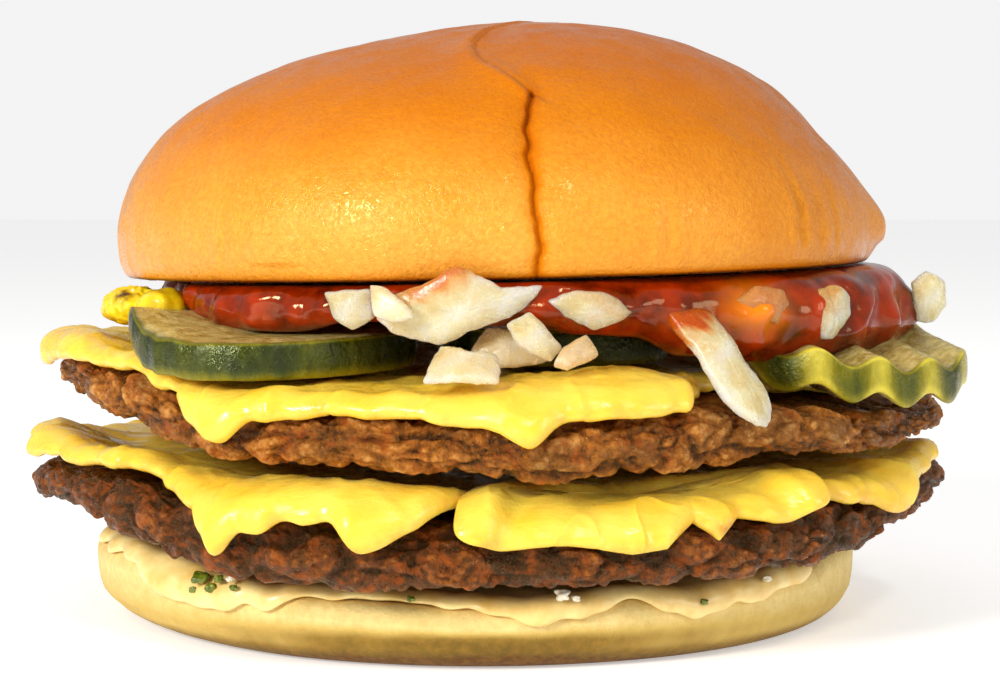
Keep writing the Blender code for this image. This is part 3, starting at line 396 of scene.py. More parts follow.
class Look:
    """A material being made: each method adds a node and returns its output."""

    def __init__(self, name, **settings):
        self.material = bpy.data.materials.new(name)
        self.material.use_nodes = True
        self.tree = self.material.node_tree
        self.shader = self.tree.nodes["Principled BSDF"]
        self.place = self.tree.nodes.new("ShaderNodeTexCoord").outputs["Object"]
        for key, value in settings.items():
            self.shader.inputs[key.replace("_", " ")].default_value = value

    def node(self, kind, inputs=(), **settings):
        made = self.tree.nodes.new(kind)
        for key, value in settings.items():
            setattr(made, key, value)
        for key, value in dict(inputs).items():
            if isinstance(value, bpy.types.NodeSocket):
                self.tree.links.new(value, made.inputs[key])
            else:
                made.inputs[key].default_value = value
        return made

    def value(self, name):
        return self.node("ShaderNodeAttribute", attribute_name=name).outputs["Fac"]

    def noise(self, size, detail=3.0, roughness=0.55, place=None):
        inputs = {"Vector": place or self.place, "Scale": 1 / (size * MM), "Detail": detail,
                  "Roughness": roughness}
        return self.node("ShaderNodeTexNoise", inputs).outputs["Fac"]

    def cells(self, size, feature="F1"):
        inputs = {"Vector": self.place, "Scale": 1 / (size * MM)}
        return self.node("ShaderNodeTexVoronoi", inputs, feature=feature).outputs["Distance"]

    def stretched(self, x, y, z):
        return self.node("ShaderNodeMapping", {"Vector": self.place, "Scale": (x, y, z)}).outputs["Vector"]

    def ramp(self, value, *stops):
        """Colours or grey levels by value, each stop a place from 0 to 1 and a colour."""
        made = self.node("ShaderNodeValToRGB", {"Fac": value})
        marks = made.color_ramp.elements
        while len(marks) < len(stops):
            marks.new(0.5)
        for mark, (place, colour) in zip(marks, stops):
            mark.position = place
            mark.color = shader_colour(colour)
        return made.outputs["Color"]

    def blend(self, share, first, second):
        """The first colour, an output of a node, turning into the second, which may be one too."""
        second = shader_colour(second) if isinstance(second, tuple) else second
        return self.node("ShaderNodeMix", {0: share, 6: first, 7: second}, data_type="RGBA").outputs[2]

    def add(self, first, second):
        return self.node("ShaderNodeMath", {0: first, 1: second}, operation="ADD").outputs[0]

    def times(self, first, second):
        return self.node("ShaderNodeMath", {0: first, 1: second}, operation="MULTIPLY").outputs[0]

    def bump(self, height, distance, strength):
        inputs = {"Height": height, "Distance": distance * MM, "Strength": strength}
        return self.node("ShaderNodeBump", inputs).outputs["Normal"]

    def set(self, **sockets):
        for key, value in sockets.items():
            self.tree.links.new(value, self.shader.inputs[key.replace("_", " ")])
        return self.material


def crust_look():
    """Glossy baked crust: browner where its browning value is high, which also carries painted shade in the
    crease, with pores, specks and crackled shine.
    """
    look = Look("crust", Specular_Tint=WARM_SHINE)
    mottle = look.times(look.add(look.noise(11.0, 4.0), -0.5), 0.3)
    baked = look.add(look.value("bake"), mottle)
    colour = look.ramp(baked, (0.0, (236, 180, 82)), (0.25, (226, 150, 44)), (0.5, (208, 122, 14)),
                       (0.75, (194, 102, 2)), (1.0, (136, 56, 0)))
    freckle = look.ramp(look.noise(0.7, 3.0, 0.65), (0.35, 0.0), (0.65, 1.0))
    colour = look.blend(look.times(freckle, 0.34), colour, (184, 92, 6))
    specks = look.ramp(look.cells(3.1), (0.0, 1.0), (0.05, 0.0))
    colour = look.blend(look.times(specks, 0.6), colour, (110, 50, 12))
    colour = look.blend(look.value("toast"), colour, (90, 36, 4))
    crackle = look.ramp(look.cells(1.2, "DISTANCE_TO_EDGE"), (0.0, 0.0), (0.1, 1.0))
    pores = look.ramp(look.noise(0.5, 3.0, 0.6), (0.3, 0.0), (0.55, 1.0))
    shine = look.ramp(look.noise(4.0, 4.0, 0.6), (0.38, 0.1), (0.6, 0.36))
    gloss = look.ramp(look.value("bake"), (0.25, 0.6), (0.52, 0.1))
    normal = look.bump(look.add(pores, look.times(crackle, 0.3)), 0.08, 0.7)
    return look.set(Base_Color=colour, Roughness=shine, Specular_IOR_Level=gloss, Normal=normal)


def crumb_look():
    """Pale soft bread of the heel, tan at its foot, with painted shade on the front of its side."""
    look = Look("crumb", Roughness=0.65, Specular_IOR_Level=0.2)
    baked = look.add(look.value("bake"), look.times(look.add(look.noise(6.0, 4.0), -0.5), 0.35))
    colour = look.ramp(baked, (0.0, (238, 214, 146)), (0.35, (204, 174, 92)), (0.65, (138, 108, 38)),
                       (0.85, (110, 84, 24)), (1.0, (98, 62, 8)))
    freckle = look.ramp(look.noise(1.0, 4.0, 0.6), (0.42, 0.0), (0.64, 1.0))
    colour = look.blend(look.times(freckle, 0.2), colour, (186, 136, 56))
    normal = look.bump(look.noise(0.8, 4.0, 0.7), 0.25, 0.9)
    return look.set(Base_Color=colour, Normal=normal)


def meat_look(name, dark, middle, light, tip):
    """Seared ground beef: brown clumps with painted shade in the crevices and painted light on their tops,
    amber fat and small wet glints.
    """
    look = Look(name, Specular_IOR_Level=0.7, Specular_Tint=WARM_SHINE)
    grain = look.noise(0.8, 4.0, 0.65)
    # Painted shade and light: the colour darkens down into the crevices and lightens on the lump tops.
    height = look.add(look.value("lump"), look.times(look.add(grain, -0.5), 1.5))
    colour = look.ramp(height, (0.18, dark), (0.48, middle), (0.76, light), (1.0, tip))
    char = look.ramp(look.noise(6.0, 4.0, 0.6), (0.45, 0.0), (0.62, 1.0))
    colour = look.blend(look.times(char, 0.5), colour, dark)
    amber = look.ramp(look.noise(2.6, 5.0, 0.65), (0.52, 0.0), (0.66, 1.0))
    colour = look.blend(look.times(amber, 0.6), colour, (166, 74, 8))
    shine = look.ramp(look.noise(1.3, 4.0, 0.6), (0.42, 0.1), (0.54, 0.6))
    fine = look.add(look.noise(0.5, 4.0, 0.75), look.times(look.cells(0.9), 0.6))
    normal = look.bump(fine, 0.5, 1.0)
    return look.set(Base_Color=colour, Roughness=shine, Normal=normal)


def cheese_look():
    """Melted cheese: even yellow with a streaky gloss, darker at its edges and red where it is stained."""
    look = Look("cheese", Specular_IOR_Level=0.5, Subsurface_Weight=0.5, Subsurface_Radius=(1.0, 0.7, 0.15),
                Subsurface_Scale=0.003)
    colour = look.ramp(look.noise(7.0, 3.0), (0.3, (252, 197, 52)), (0.7, (255, 215, 86)))
    edge = look.times(look.value("edge"), look.ramp(look.noise(2.5, 3.0), (0.35, 0.1), (0.65, 1.0)))
    colour = look.blend(edge, colour, (180, 120, 34))
    patchy = look.ramp(look.noise(1.4, 4.0, 0.6), (0.3, 0.0), (0.6, 1.0))
    colour = look.blend(look.times(look.value("stain"), patchy), colour, (206, 74, 6))
    shine = look.ramp(look.noise(2.6, 4.0, 0.6), (0.38, 0.12), (0.62, 0.4))
    streaks = look.noise(1.4, 4.0, 0.6, place=look.stretched(0.5, 1.0, 1.0))
    normal = look.bump(streaks, 0.22, 0.8)
    return look.set(Base_Color=colour, Roughness=shine, Normal=normal)


def wet_look(name, dark, light, size, spot=None, **settings):
    """A smooth wet food of slowly varying colour. spot is the value that marks a place, and its colour."""
    look = Look(name, **settings)
    colour = look.ramp(look.noise(size, 4.0), (0.32, dark), (0.68, light))
    if spot:
        colour = look.blend(look.value(spot[0]), colour, spot[1])
    normal = look.bump(look.noise(1.5, 3.0), 0.12, 0.7)
    return look.set(Base_Color=colour, Normal=normal)


def pickle_look():
    """A slice of pickle: dark skin with light windows round its rim, pale frosty flesh on its faces."""
    look = Look("pickle", Specular_IOR_Level=0.5, Specular_Tint=(0.9, 1.0, 0.5, 1.0), Subsurface_Weight=0.25,
                Subsurface_Radius=(0.6, 0.8, 0.1), Subsurface_Scale=0.003)
    ribs = look.times(look.noise(2.6, 4.0, 0.6, place=look.stretched(1.0, 0.8, 0.35)), 0.6)
    rim = look.ramp(look.add(ribs, look.value("light")), (0.22, (14, 22, 0)), (0.36, (50, 56, 0)),
                    (0.62, (118, 108, 6)), (1.0, (200, 182, 60)))
    flesh = look.ramp(look.noise(1.6, 5.0, 0.7), (0.34, (142, 118, 40)), (0.66, (206, 188, 120)))
    colour = look.blend(look.value("skin"), flesh, rim)
    shine = look.ramp(look.noise(2.0, 3.0), (0.4, 0.1), (0.6, 0.4))
    normal = look.bump(look.noise(1.2, 4.0, 0.65), 0.3, 0.9)
    return look.set(Base_Color=colour, Roughness=shine, Normal=normal)


def onion_look():
    """Raw onion: milky and translucent with faint fibres, a painted highlight along each piece's rim, tan
    and then orange where it is stained.
    """
    look = Look("onion", Specular_IOR_Level=0.5, IOR=1.36, Transmission_Weight=0.4, Subsurface_Weight=0.7,
                Subsurface_Radius=(1.0, 0.9, 0.6), Subsurface_Scale=0.004)
    fibres = look.noise(0.7, 4.0, 0.6, place=look.stretched(1.0, 1.0, 0.3))
    colour = look.ramp(look.noise(3.6, 4.0), (0.34, (226, 200, 138)), (0.5, (242, 228, 182)),
                       (0.66, (252, 246, 222)))
    streak = look.ramp(fibres, (0.5, 0.0), (0.66, 1.0))
    colour = look.blend(look.times(streak, 0.1), colour, (210, 190, 130))
    # Painted highlight: the rim value whitens each piece's edge.
    colour = look.blend(look.value("rim"), colour, (255, 253, 240))
    stain = look.value("stain")
    colour = look.blend(look.ramp(stain, (0.08, 0.0), (0.5, 1.0)), colour, (228, 168, 96))
    colour = look.blend(look.ramp(stain, (0.5, 0.0), (0.85, 1.0)), colour, (210, 92, 14))
    shine = look.ramp(look.noise(0.8, 3.0), (0.4, 0.08), (0.6, 0.3))
    grains = look.add(fibres, look.times(look.noise(0.6, 3.0, 0.6), 0.6))
    normal = look.bump(grains, 0.08, 0.8)
    return look.set(Base_Color=colour, Roughness=shine, Normal=normal)


# The bun

def crown_underside_z(x):
    share = (x - CROWN_CENTRE[0]) / CROWN_R
    return CROWN_UNDERSIDE_Z + CROWN_RIGHT_LIFT * share


def line_distance(azimuth, z, radius, line):
    """Distance over the surface from each point to a line of azimuths and heights, and the side it is on."""
    x, y = np.radians(angle_between(azimuth, FRONT)) * radius, z
    best, side = np.full(np.shape(x), 1e9), np.zeros(np.shape(x))
    for (a0, z0), (a1, z1) in zip(line[:-1], line[1:]):
        x0, x1 = (math.radians(a - FRONT) * radius for a in (a0, a1))
        dx, dy = x1 - x0, z1 - z0
        t = np.clip(((x - x0) * dx + (y - z0) * dy) / (dx * dx + dy * dy), 0, 1)
        gap = np.hypot(x - x0 - t * dx, y - z0 - t * dy)
        closer = gap < best
        side = np.where(closer, np.sign(dx * (y - z0) - dy * (x - x0)), side)
        best = np.minimum(best, gap)
    return best, side


def crown_swell(azimuth, share, height, z):
    """How far the crust lies outside a plain dome, and how deep in the crease each point is."""
    right = np.clip(np.cos(np.radians(azimuth)), 0, 1) ** 2
    dip = CROWN_SHOULDER_DIP * right * (1 - smoothstep(0.5, 0.75, height))
    around_tear = np.radians(angle_between(azimuth, CROWN_TEAR["azimuth"])) * CROWN_R
    tear = bell(around_tear, CROWN_TEAR["width"]) * bell(z - CROWN_TEAR["z"], CROWN_TEAR["width"])
    tear = CROWN_TEAR["height"] * tear
    place = polar(azimuth, CROWN_R * share, z)
    wander = 0.3 * ripple(place, 2.6, 2.2) + 0.1 * ripple(place, 1.1, 3.2)
    crease, crease_side = line_distance(azimuth, z, CROWN_R * share, CREASE)
    crease = np.abs(crease * crease_side + wander)
    seam, side = line_distance(azimuth, z, CROWN_R * share, SEAM)
    groove = 0.85 * bell(crease, 0.34) + 0.5 * bell(crease, 1.8)
    lip = 0.3 * bell(seam - 0.5, 0.6) + 0.3 * side * bell(seam, 2.0)
    swell = 0.4 * ripple(place, 26.0, 0.4) + 0.12 * ripple(place, 7.0, 5.0) + 0.04 * ripple(place, 2.2, 6.0)
    across = np.abs(np.radians(angle_between(azimuth, PATCH["azimuth"])) * CROWN_R) / PATCH["width"]
    within = np.maximum(across, np.abs(z - PATCH["z"]) / PATCH["height"])
    swell = swell + PATCH["rise"] * (1 - smoothstep(0.85, 1.1, within))
    for at, middle, length, depth in WRINKLES:
        across = np.radians(angle_between(azimuth, at)) * CROWN_R + 0.3 * ripple(place, 2.5, at)
        swell = swell - depth * bell(across, 0.45) * bell(z - middle, length)
        swell = swell + 0.5 * depth * bell(np.abs(across) - 1.1, 0.7) * bell(z - middle, length)
    return swell - dip + tear + lip - groove, bell(crease, 0.9)


def crown_columns():
    """Azimuths of the crown's columns, closer together at the crease."""
    even = azimuths(4096)
    density = 1 + 5.0 * bell(angle_between(even, 274.6), 3.0)
    travelled = np.concatenate([[0], np.cumsum(density)])
    count = COLUMNS["crown"]
    return np.interp(np.arange(count) / count * travelled[-1], travelled, np.arange(4097) * 360 / 4096)


def build_crown(material):
    azimuth = crown_columns()
    tan = 0.16 * smoothstep(0.05, 0.8, np.cos(np.radians(azimuth)))
    rings, bake, toast = [], [], []
    for angle in np.concatenate([np.linspace(1.2, 40, 42), np.linspace(40.6, 90, 84)]):
        height, share = cos_sin(angle)
        z = CROWN_WIDEST_Z + (CROWN_TOP_Z - CROWN_WIDEST_Z) * height
        swell, crease = crown_swell(azimuth, share, height, z)
        centre = (CROWN_CENTRE[0] + CROWN_APEX_SHIFT * height**5, CROWN_CENTRE[1])
        rings.append(polar(azimuth, CROWN_R * share + swell * share, z + swell * height, centre))
        # Painted shade in the crease darkens the crust, on top of its browning towards the top and its
        # darker right side.
        bake.append(0.2 + 0.5 * smoothstep(-0.05, 0.95, height) + 0.35 * crease + tan * (1 - height))
        toast.append(0.0)
    for turn in np.linspace(0, 90, 22)[1:]:
        level, down = cos_sin(turn)
        inward = 1 - level
        z = CROWN_UNDERSIDE_Z + (CROWN_WIDEST_Z - CROWN_UNDERSIDE_Z) * (1 - down)
        swell, crease = crown_swell(azimuth, 1.0, 0.0, z)
        ring = polar(azimuth, CROWN_R - 1.8 * inward + swell * (1 - 0.5 * inward), 0.0, CROWN_CENTRE)
        ring[:, 2] = z + (crown_underside_z(ring[:, 0]) - CROWN_UNDERSIDE_Z) * smoothstep(0, 0.6, down)
        rings.append(ring)
        edge = 0.5 * ripple(ring, 3.0, 7.0)
        # Painted shade in the crease here too, and darker as the crust turns under.
        bake.append(0.2 + 0.35 * crease + 0.3 * smoothstep(0.75, 1.0, down) + tan)
        toast.append(np.clip(smoothstep(0.9, 0.99, down + 0.02 * edge), 0, 0.85))
    for inset in (2.6, 3.6, 5.0, 8.0, 12.0, 20.0, 35.0):
        ring = polar(azimuth, CROWN_R - inset, 0.0, CROWN_CENTRE)
        ring[:, 2] = crown_underside_z(ring[:, 0]) + 0.15 * ripple(ring, 2.0, 8.0)
        rings.append(ring)
        bake.append(0.45)
        toast.append(0.5)
    top, bottom = rings[0].mean(0), (*CROWN_CENTRE, CROWN_UNDERSIDE_Z)
    crown = skin("bun_crown_crust", rings, top, bottom, material, bake=bake, toast=toast)
    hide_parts("bun_crown")


def heel_top_z(x, y):
    return np.minimum(HEEL_TOP_Z, patty_face_z(LOWER_PATTY, x, y, -1) - SAUCE_T - SAUCE_GAP - GAP)


def heel_radius(azimuth):
    return HEEL_R + 0.5 * ripple(polar(azimuth, 20.0, 5.0), 12.0, 6.0)


def heel_corner_z(azimuth):
    corner = polar(azimuth, heel_radius(azimuth) - HEEL_CORNER, 0.0, HEEL_CENTRE)
    return heel_top_z(corner[..., 0], corner[..., 1])


def build_heel(material):
    azimuth = azimuths(COLUMNS["heel"])
    radius, corner_z = heel_radius(azimuth), heel_corner_z(azimuth)
    foot = HEEL_FOOT_R - HEEL_LEFT_TUCK * bell(angle_between(azimuth, 195.0), 40.0)
    # How much painted shade falls on the side, most at the front.
    front = 0.35 + 0.65 * bell(angle_between(azimuth, FRONT), 30.0)
    rings, bake = [], []
    for share in (0.3, 0.6, 0.8, 0.9, 0.96):
        ring = polar(azimuth, (radius - HEEL_CORNER) * share, 0.0, HEEL_CENTRE)
        ring[:, 2] = heel_top_z(ring[:, 0], ring[:, 1])
        rings.append(ring)
        bake.append(0.15)
    for turn in np.radians(np.linspace(90, 0, 14)):
        reach = radius - HEEL_CORNER + HEEL_CORNER * math.cos(turn)
        z = corner_z - HEEL_CORNER + HEEL_CORNER * math.sin(turn)
        rings.append(polar(azimuth, reach, z, HEEL_CENTRE))
        bake.append(0.15)
    for turn in np.radians(np.linspace(0, 90, 40)[1:]):
        bulge = math.sin(turn)
        reach = foot + (radius - foot) * math.cos(turn)
        wrinkle = 0.22 * ripple(polar(azimuth, 30.0, 12 * bulge), 3.2, 1.4)
        reach = reach - np.abs(wrinkle) * smoothstep(0.1, 0.5, bulge) * math.cos(turn)
        low = smoothstep(0, 0.35, bulge)
        z = ((corner_z - HEEL_CORNER) * (1 - low) + HEEL_FOOT_RISE * low) * (1 - bulge)
        rings.append(polar(azimuth, reach, z, HEEL_CENTRE))
        # Painted shade on the upper side at the front, under the patty; the foot's tan is the bread's own
        # bake.
        bake.append(0.1 + 0.72 * smoothstep(0.0, 0.45, bulge) * front + 0.4 * smoothstep(0.55, 0.95, bulge))
    for share in (0.9, 0.6, 0.3):
        rings.append(polar(azimuth, foot * share, 0.0, HEEL_CENTRE))
        bake.append(0.85)
    top = (*HEEL_CENTRE, float(heel_top_z(*HEEL_CENTRE)))
    heel = skin("bun_heel_bread", rings, top, (*HEEL_CENTRE, 0.0), material, bake=bake)
    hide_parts("bun_heel")


# The patties

def patty_radius(patty, azimuth):
    radius = np.full(np.shape(azimuth), patty["radius"], float)
    for at, size in patty["bulges"].items():
        radius = radius + size * bell(angle_between(azimuth, at), 9.0)
    return radius + 0.6 * ripple(polar(azimuth, 20.0, 0.0), 6.0, patty["seed"])


def patty_rim(patty, azimuth):
    return around(patty["rim_t"], azimuth) / 2


def patty_middle_z(patty, azimuth, share):
    rise = around(patty["rim_z"], azimuth) - patty["middle_z"]
    return patty["middle_z"] + rise * np.where(rise > 0, share**4, share**1.8)


def patty_half(patty, azimuth, share):
    return PATTY_T / 2 + (patty_rim(patty, azimuth) - PATTY_T / 2) * share**2


def patty_polar(patty, x, y):
    dx, dy = x - patty["centre"][0], y - patty["centre"][1]
    return np.degrees(np.arctan2(dy, dx)) % 360, np.hypot(dx, dy)


def patty_face_z(patty, x, y, side):
    azimuth, reach = patty_polar(patty, x, y)
    share = reach / patty_radius(patty, azimuth)
    return patty_middle_z(patty, azimuth, share) + side * patty_half(patty, azimuth, share)


def crags(points, seed):
    """How far the seared surface lies under its envelope, and how high on its lumps each point is."""
    warp = np.stack([ripple(points, 4.0, seed + k) for k in (1, 2, 3)], axis=-1)
    bent = points + 1.4 * warp
    clumps = cells(bent, CLUMPS[0], seed)
    lumps = cells(bent, LUMPS[0], seed + 4)
    grains = cells(points + 0.5 * warp, GRAINS[0], seed + 9)
    coarse, fine = ripple(points, 1.5, seed + 5), ripple(points, 0.75, seed + 7)
    hollow = smoothstep(0.15, 0.85, ripple(points, 8.0, seed + 6))
    depth = LEAST_DEPTH + CLUMPS[1] * (1 - clumps) + LUMPS[1] * (1 - lumps) + GRAINS[1] * (1 - grains)
    depth = depth + HOLLOW_DEPTH * hollow + 0.13 * coarse + 0.07 * fine
    lump = 0.4 * clumps + 0.25 * lumps + 0.2 * grains + 0.15 * (1 - hollow) + 0.1 * fine
    return np.clip(depth, 0.0, MOST_DEPTH), lump


def build_patty(node, patty, material):
    azimuth = azimuths(COLUMNS["patty"])
    radius, rim = patty_radius(patty, azimuth), patty_rim(patty, azimuth)
    levels = [(share, 90.0) for share in (0.3, 0.6, 0.78, 0.86, 0.92, 0.96, 0.985)]
    levels += [(1.0, angle) for angle in np.linspace(90, -90, 64)]
    levels += [(share, -90.0) for share in (0.98, 0.95, 0.9, 0.8, 0.5)]
    rings, out, up = [], [], []
    for share_out, angle in levels:
        outward, rise = cos_sin(angle)
        reach = (radius - rim) * share_out + rim * outward
        share = reach / radius
        z = patty_middle_z(patty, azimuth, share) + rise * patty_half(patty, azimuth, share)
        rings.append(polar(azimuth, reach, z, patty["centre"]))
        out.append(outward)
        up.append(rise)
    rings = np.array(rings)
    depth, lump = crags(rings, patty["seed"])
    cos, sin = cos_sin(azimuth)
    out, up = np.array(out)[:, None], np.array(up)[:, None]
    rings -= depth[..., None] * np.stack([out * cos, out * sin, up + 0 * cos], axis=-1)
    x, y = patty["centre"]
    top, bottom = (x, y, patty["middle_z"] + PATTY_T / 2 - 1), (x, y, patty["middle_z"] - PATTY_T / 2 + 1)
    meat = skin(node + "_meat", rings, top, bottom, material, lump=lump)
    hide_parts(node)


# The cheese

def drape(patty, azimuth, run, lift):
    """A point that far along the way out over the patty's top, round its rim and down, lifted off it."""
    radius, rim = patty_radius(patty, azimuth), patty_rim(patty, azimuth)
    flat = radius - rim
    turn = np.clip((run - flat) / rim, 0, math.pi / 2)
    fall = np.maximum(run - flat - rim * math.pi / 2, 0)
    reach = np.minimum(run, flat) + rim * np.sin(turn)
    share = reach / radius
    z = patty_middle_z(patty, azimuth, share) + patty_half(patty, azimuth, share) * np.cos(turn) - fall
    return polar(azimuth, reach + lift * np.sin(turn), z + lift * np.cos(turn), patty["centre"])


def widest_run(patty, azimuth):
    rim = patty_rim(patty, azimuth)
    return patty_radius(patty, azimuth) - rim + rim * math.pi / 2


def slice_edge(patty, hang, azimuth):
    return widest_run(patty, azimuth) + around(hang, azimuth)


def puff(puffs, azimuth, run):
    risen = 0.0
    for at, width, height, (start, high, fold, end) in puffs:
        profile = smoothstep(start, high, run) * (1 - PUFF_DROOP * smoothstep(fold, end, run))
        risen = risen + height * bell(angle_between(azimuth, at), width) * profile
    return risen


def slice_levels():
    """How far back from a slice's edge each ring is, and on which side: 1 outside, -1 inside."""
    half = CHEESE_T / 2
    rounded = [(half * (1 - math.cos(turn)), math.sin(turn)) for turn in half_turn(11)]
    outer = [(half + back, 1.0) for back in np.geomspace(40.0, 0.3, 38)]
    inner = [(half + back, -1.0) for back in np.geomspace(0.6, 40.0, 8)]
    return outer + rounded + inner


def soft_waves(place, seed):
    """Dimples, swellings and thin creases of melted cheese, in millimetres."""
    crease = (1 - np.abs(ripple(place, 6.5, seed + 3))) ** 9
    return 0.32 * ripple(place, 5.5, seed) + 0.08 * ripple(place, 2.2, seed + 1) + 0.3 * crease


def build_slice(node, patty, hang, puffs, material, seed, stain=0.0):
    azimuth = azimuths(COLUMNS["slice"])
    edge = slice_edge(patty, hang, azimuth)
    edge = edge + 0.35 * ripple(polar(azimuth, 58.0, 0.0), 3.0, seed)
    uneven = ripple(polar(azimuth, 58.0, 0.0), 5.0, seed + 5)
    rings, greasy, film = [], [], []
    for back, side in slice_levels():
        run = np.maximum(edge - back, LEAST_RUN)
        flat = drape(patty, azimuth, run, 0.0)
        bead = 0.3 * bell(back - 1.6, 1.3) * (0.75 + 0.75 * uneven)
        tuck = 0.55 * bell(back, 1.6)
        lift = MELT_GAP + CHEESE_T / 2 + side * (CHEESE_T / 2 + bead / 2) + bead / 2 - tuck
        lift = lift + puff(puffs, azimuth, run) + soft_waves(flat, seed)
        rings.append(drape(patty, azimuth, run, lift))
        greasy.append(0.4 * bell(back, 0.8))
        film.append(stain * bell(angle_between(azimuth, FILM["azimuth"]), FILM["width"])
                    * bell(run - FILM["run"], FILM["depth"]))
    x, y = patty["centre"]
    z = patty["middle_z"] + PATTY_T / 2 + SPREAD_GAP
    cheese = skin(node + "_melt", rings, (x, y, z + CHEESE_T), (x, y, z), material, edge=greasy, stain=film)
    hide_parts(node)


def over_outline(back, steps):
    """The outline of the folded slice, drawn in by that distance: azimuth and run of each point."""
    cos, sin = cos_sin(azimuths(steps))
    wide, deep = np.abs(cos / (OVER_HALF_WIDTH - back)), np.abs(sin / (OVER_HALF_DEPTH - back))
    size = (wide**OVER_SQUARENESS + deep**OVER_SQUARENESS) ** (-1 / OVER_SQUARENESS)
    along, out = size * cos, -size * sin
    waves = np.interp(along / OVER_HALF_WIDTH * 90, list(OVER_HANG), list(OVER_HANG.values()))
    inward = 0.5 - 0.5 * out / OVER_HALF_DEPTH
    along = along + OVER_LEAN * inward * smoothstep(0, OVER_HALF_WIDTH, -along)
    out = out + smoothstep(0, OVER_HALF_DEPTH, out) * waves
    run = OVER_RUN + out
    return (OVER_AZIMUTH + np.degrees(along / run)) % 360, run


def over_base(azimuth, run):
    under_edge = slice_edge(LOWER_PATTY, UNDER_HANG, azimuth)
    return MELT_GAP + smoothstep(-11.0, -5.0, under_edge - run) * (CHEESE_T + GAP)


def build_over_slice(material, seed):
    rings, greasy = [], []
    deepest = OVER_HALF_DEPTH * 0.97
    for back, side in slice_levels():
        azimuth, run = over_outline(deepest * (1 - math.exp(-back / deepest)), COLUMNS["folded slice"])
        flat = drape(LOWER_PATTY, azimuth, run, 0.0)
        full = 0.2 + 0.8 * smoothstep(-OVER_HALF_WIDTH - 1, -OVER_HALF_WIDTH + 9, flat[:, 0] - 15.0)
        full = full * (0.35 + 0.65 * smoothstep(0.0, 5.0, run - OVER_RUN + OVER_HALF_DEPTH))
        lift = over_base(azimuth, run) + CHEESE_T * full * (1 + side) / 2 - 0.4 * bell(back, 1.4)
        rings.append(drape(LOWER_PATTY, azimuth, run, lift + soft_waves(flat, seed) * full))
        tip = 0.7 * bell(angle_between(azimuth, GREASY_TIP), 2.2) * smoothstep(54.0, 58.0, run)
        greasy.append(0.4 * bell(back, 0.8) + tip)
    top, bottom, stain = rings[0].mean(0), rings[-1].mean(0), [0.0] * len(rings)
    cheese = skin("cheese_lower_over_melt", rings, top, bottom, material, edge=greasy, stain=stain)
    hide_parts("cheese_lower_over")


# The toppings

def topping_floor(x, y):
    azimuth, reach = patty_polar(UPPER_PATTY, x, y)
    edge = np.minimum(slice_edge(UPPER_PATTY, UPPER_HANG, azimuth), patty_radius(UPPER_PATTY, azimuth))
    covered = 1 - smoothstep(0.5, 7.0, reach - edge)
    return patty_face_z(UPPER_PATTY, x, y, 1) + covered * (SPREAD_GAP + CHEESE_T)


def sauce_run(azimuth):
    flat = heel_radius(azimuth) - HEEL_CORNER
    quarter = HEEL_CORNER * math.pi / 2
    return flat + quarter + heel_corner_z(azimuth) - HEEL_CORNER - around(SAUCE_LOW_Z, azimuth)


def build_sauce(material):
    azimuth = azimuths(COLUMNS["sauce"])
    flat, corner_z = heel_radius(azimuth) - HEEL_CORNER, heel_corner_z(azimuth)
    quarter = HEEL_CORNER * math.pi / 2
    edge = sauce_run(azimuth) + 0.5 * ripple(polar(azimuth, 49.0, 0.0), 3.4, 4.4)
    outer = [(d, 1.0) for d in np.geomspace(30, SAUCE_T, 26)]
    rounded = [(SAUCE_T * (1 - math.cos(turn)), math.sin(turn)) for turn in half_turn(9)[1:-1]]
    inner = [(d, -1.0) for d in np.geomspace(SAUCE_T, 30, 6)]
    rings = []
    for back, side in outer + rounded + inner:
        run = edge - back
        turn = np.clip((run - flat) / HEEL_CORNER, 0, math.pi / 2)
        fall = np.maximum(run - flat - quarter, 0)
        place = polar(azimuth, np.minimum(run, flat), -fall, HEEL_CENTRE)
        uneven = 0.25 * ripple(place, 4.0, 1.1) + 0.35 * bell(back - 1.5, 1.2)
        lift = 0.15 + (SAUCE_T + uneven) * (1 + side) / 2
        ring = polar(azimuth, np.minimum(run, flat) + (HEEL_CORNER + lift) * np.sin(turn), 0.0, HEEL_CENTRE)
        on_side = corner_z - HEEL_CORNER + (HEEL_CORNER + lift) * np.cos(turn) - fall
        ring[:, 2] = np.where(run < flat, heel_top_z(ring[:, 0], ring[:, 1]) + lift, on_side)
        rings.append(ring)
    z = float(heel_top_z(*HEEL_CENTRE)) + 0.2
    sauce = skin("sauce_spread", rings, (*HEEL_CENTRE, z + SAUCE_T), (*HEEL_CENTRE, z), material)
    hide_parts("sauce")


def pickle_points(spec, x, y, side):
    c, s = cos_sin(spec["turn"])
    wave = spec["wave"] * np.sin((x + CRINKLE_SHIFT) * 2 * math.pi / CRINKLE_PITCH)
    px, py = spec["centre"][0] + x * c - y * s, spec["centre"][1] + x * s + y * c
    raised = spec["tilt"] * (py - spec["centre"][1] + PICKLE_PIVOT * spec["radius"])
    middle = topping_floor(px, py) + 1.5 * GAP + spec["wave"] + PICKLE_T / 2 + raised
    return np.stack([px, py, middle + side * PICKLE_T / 2 + wave], axis=-1)


